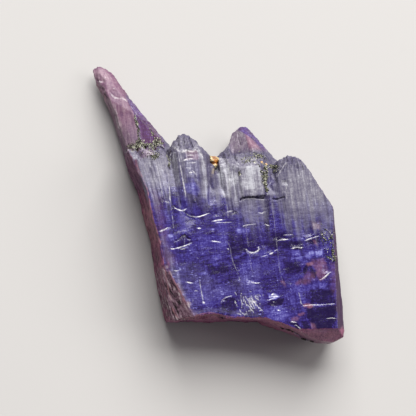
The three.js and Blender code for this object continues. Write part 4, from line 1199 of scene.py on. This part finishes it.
for number, (name, (count, bare, light, rows)) in enumerate(CRUSTS.items()):
    rng = np.random.default_rng(40 + number)
    bed = even_skin(merged_copy(nodes[name], name + "_bed"), name + "_grains", BED_PITCH)
    start = points_of(bed.data)
    lumps = unevenness(start, (0.13, 0.13, 0.13), 81) + 0.5 * unevenness(start, (0.4, 0.4, 0.4), 82)
    skin = start - facing_of(bed.data) * (BED_RELIEF * (1 + lumps))[:, None]
    move_points(bed.data, skin)
    smooth(bed.data)

    def clusters(points):
        spots = unevenness(points, (0.38, 0.38, 0.38), 83 + number)
        spots += 0.5 * unevenness(points, (0.17, 0.17, 0.17), 87)
        return ramp(spots, bare - 0.1, bare + 0.1)

    keep_values(bed, "grain_shade", 0.45 + 0.3 * lumps)
    keep_values(bed, "tint", 1 - clusters(skin))
    bed.data.materials.append(crust_material)
    places = seats_on(bed.data, count, rng)
    places = list(places[clusters(places) > rng.random(count)])
    for spread, amount, path in rows:
        places += seats_along((skin_tree, solid_tree(bed.data, 1)), path, spread, amount, rng)
    grains = grains_at(name + "_strewn", places, GRAIN_MM, number, crust_material)
    grain_points = points_of(grains.data)
    shade = np.empty(len(grain_points), np.float32)
    grains.data.attributes["grain_shade"].data.foreach_get("value", shade)
    grains.data.attributes["grain_shade"].data.foreach_set("value", np.float32(light) * shade**1.4)
    rusty = []
    for (px, py), reach in zip(RUSTY, RUSTY_REACH):
        away = np.hypot(grain_points[:, 0] - px, grain_points[:, 1] - py)
        rusty.append(1 - ramp(away, 0.6 * reach, reach))
    keep_values(grains, "rusty", np.maximum.reduce(rusty))
    with bpy.context.temp_override(active_object=bed, object=bed, selected_editable_objects=[bed, grains]):
        bpy.ops.object.join()
    inside = np.clip(points_of(bed.data), crystal_low, np.array(cad_box[1]) / MM)
    move_points(bed.data, inside)
    bed.data.transform(Matrix.Scale(MM, 4))
    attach(bed, "root")
    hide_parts(name)


# Rust-stained grain wedged in the notch: an orange-brown core with a pale yellow rim.
NOTCH_GRAIN_PITCH = 0.04
NOTCH_GRAIN_RELIEF = 0.05
NOTCH_GRAIN_RIM = (0.42, 0.5, 0.5)

packed_grain = merged_copy(nodes["rust_stained_grain"], "grain_skin")
grain = even_skin(packed_grain, "rusty_notch_grain", NOTCH_GRAIN_PITCH)
start = points_of(grain.data)
grain_middle = start.mean(axis=0)
pitting = 0.5 + 0.5 * layered(start, (0.16, 0.16, 0.16), 91)
skin = start - facing_of(grain.data) * (NOTCH_GRAIN_RELIEF * pitting)[:, None]
move_points(grain.data, skin)
smooth(grain.data)
rim = np.linalg.norm((skin - grain_middle) / NOTCH_GRAIN_RIM, axis=1)
rim += 0.3 * layered(skin, (0.25, 0.25, 0.25), 95)
keep_values(grain, "rim", ramp(rim, 0.7, 1.15))
grain.data.transform(Matrix.Scale(MM, 4))
rust = Finish("rust_stained_calcite")
rust.shader.inputs["Roughness"].default_value = 0.45
texture = rust.texture({"Patch Size": 0.0003})
rust_tone = rust.sum(-0.3, (texture["Patches"], 0.8), (texture["Dust"], 0.5))
core = rust.shades(rust_tone, (0.0, (0.10, 0.025, 0.006)), (0.5, (0.42, 0.15, 0.02)),
                   (1.0, (0.72, 0.38, 0.08)))
outer = rust.shades(rust_tone, (0.0, (0.30, 0.22, 0.08)), (1.0, (0.80, 0.72, 0.48)))
rust.put(rust.shader.inputs["Base Color"], rust.blend(rust.read("rim"), core, outer))
grain.data.materials.clear()
grain.data.materials.append(rust.material)
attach(grain, "root")
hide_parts("rust_stained_grain")
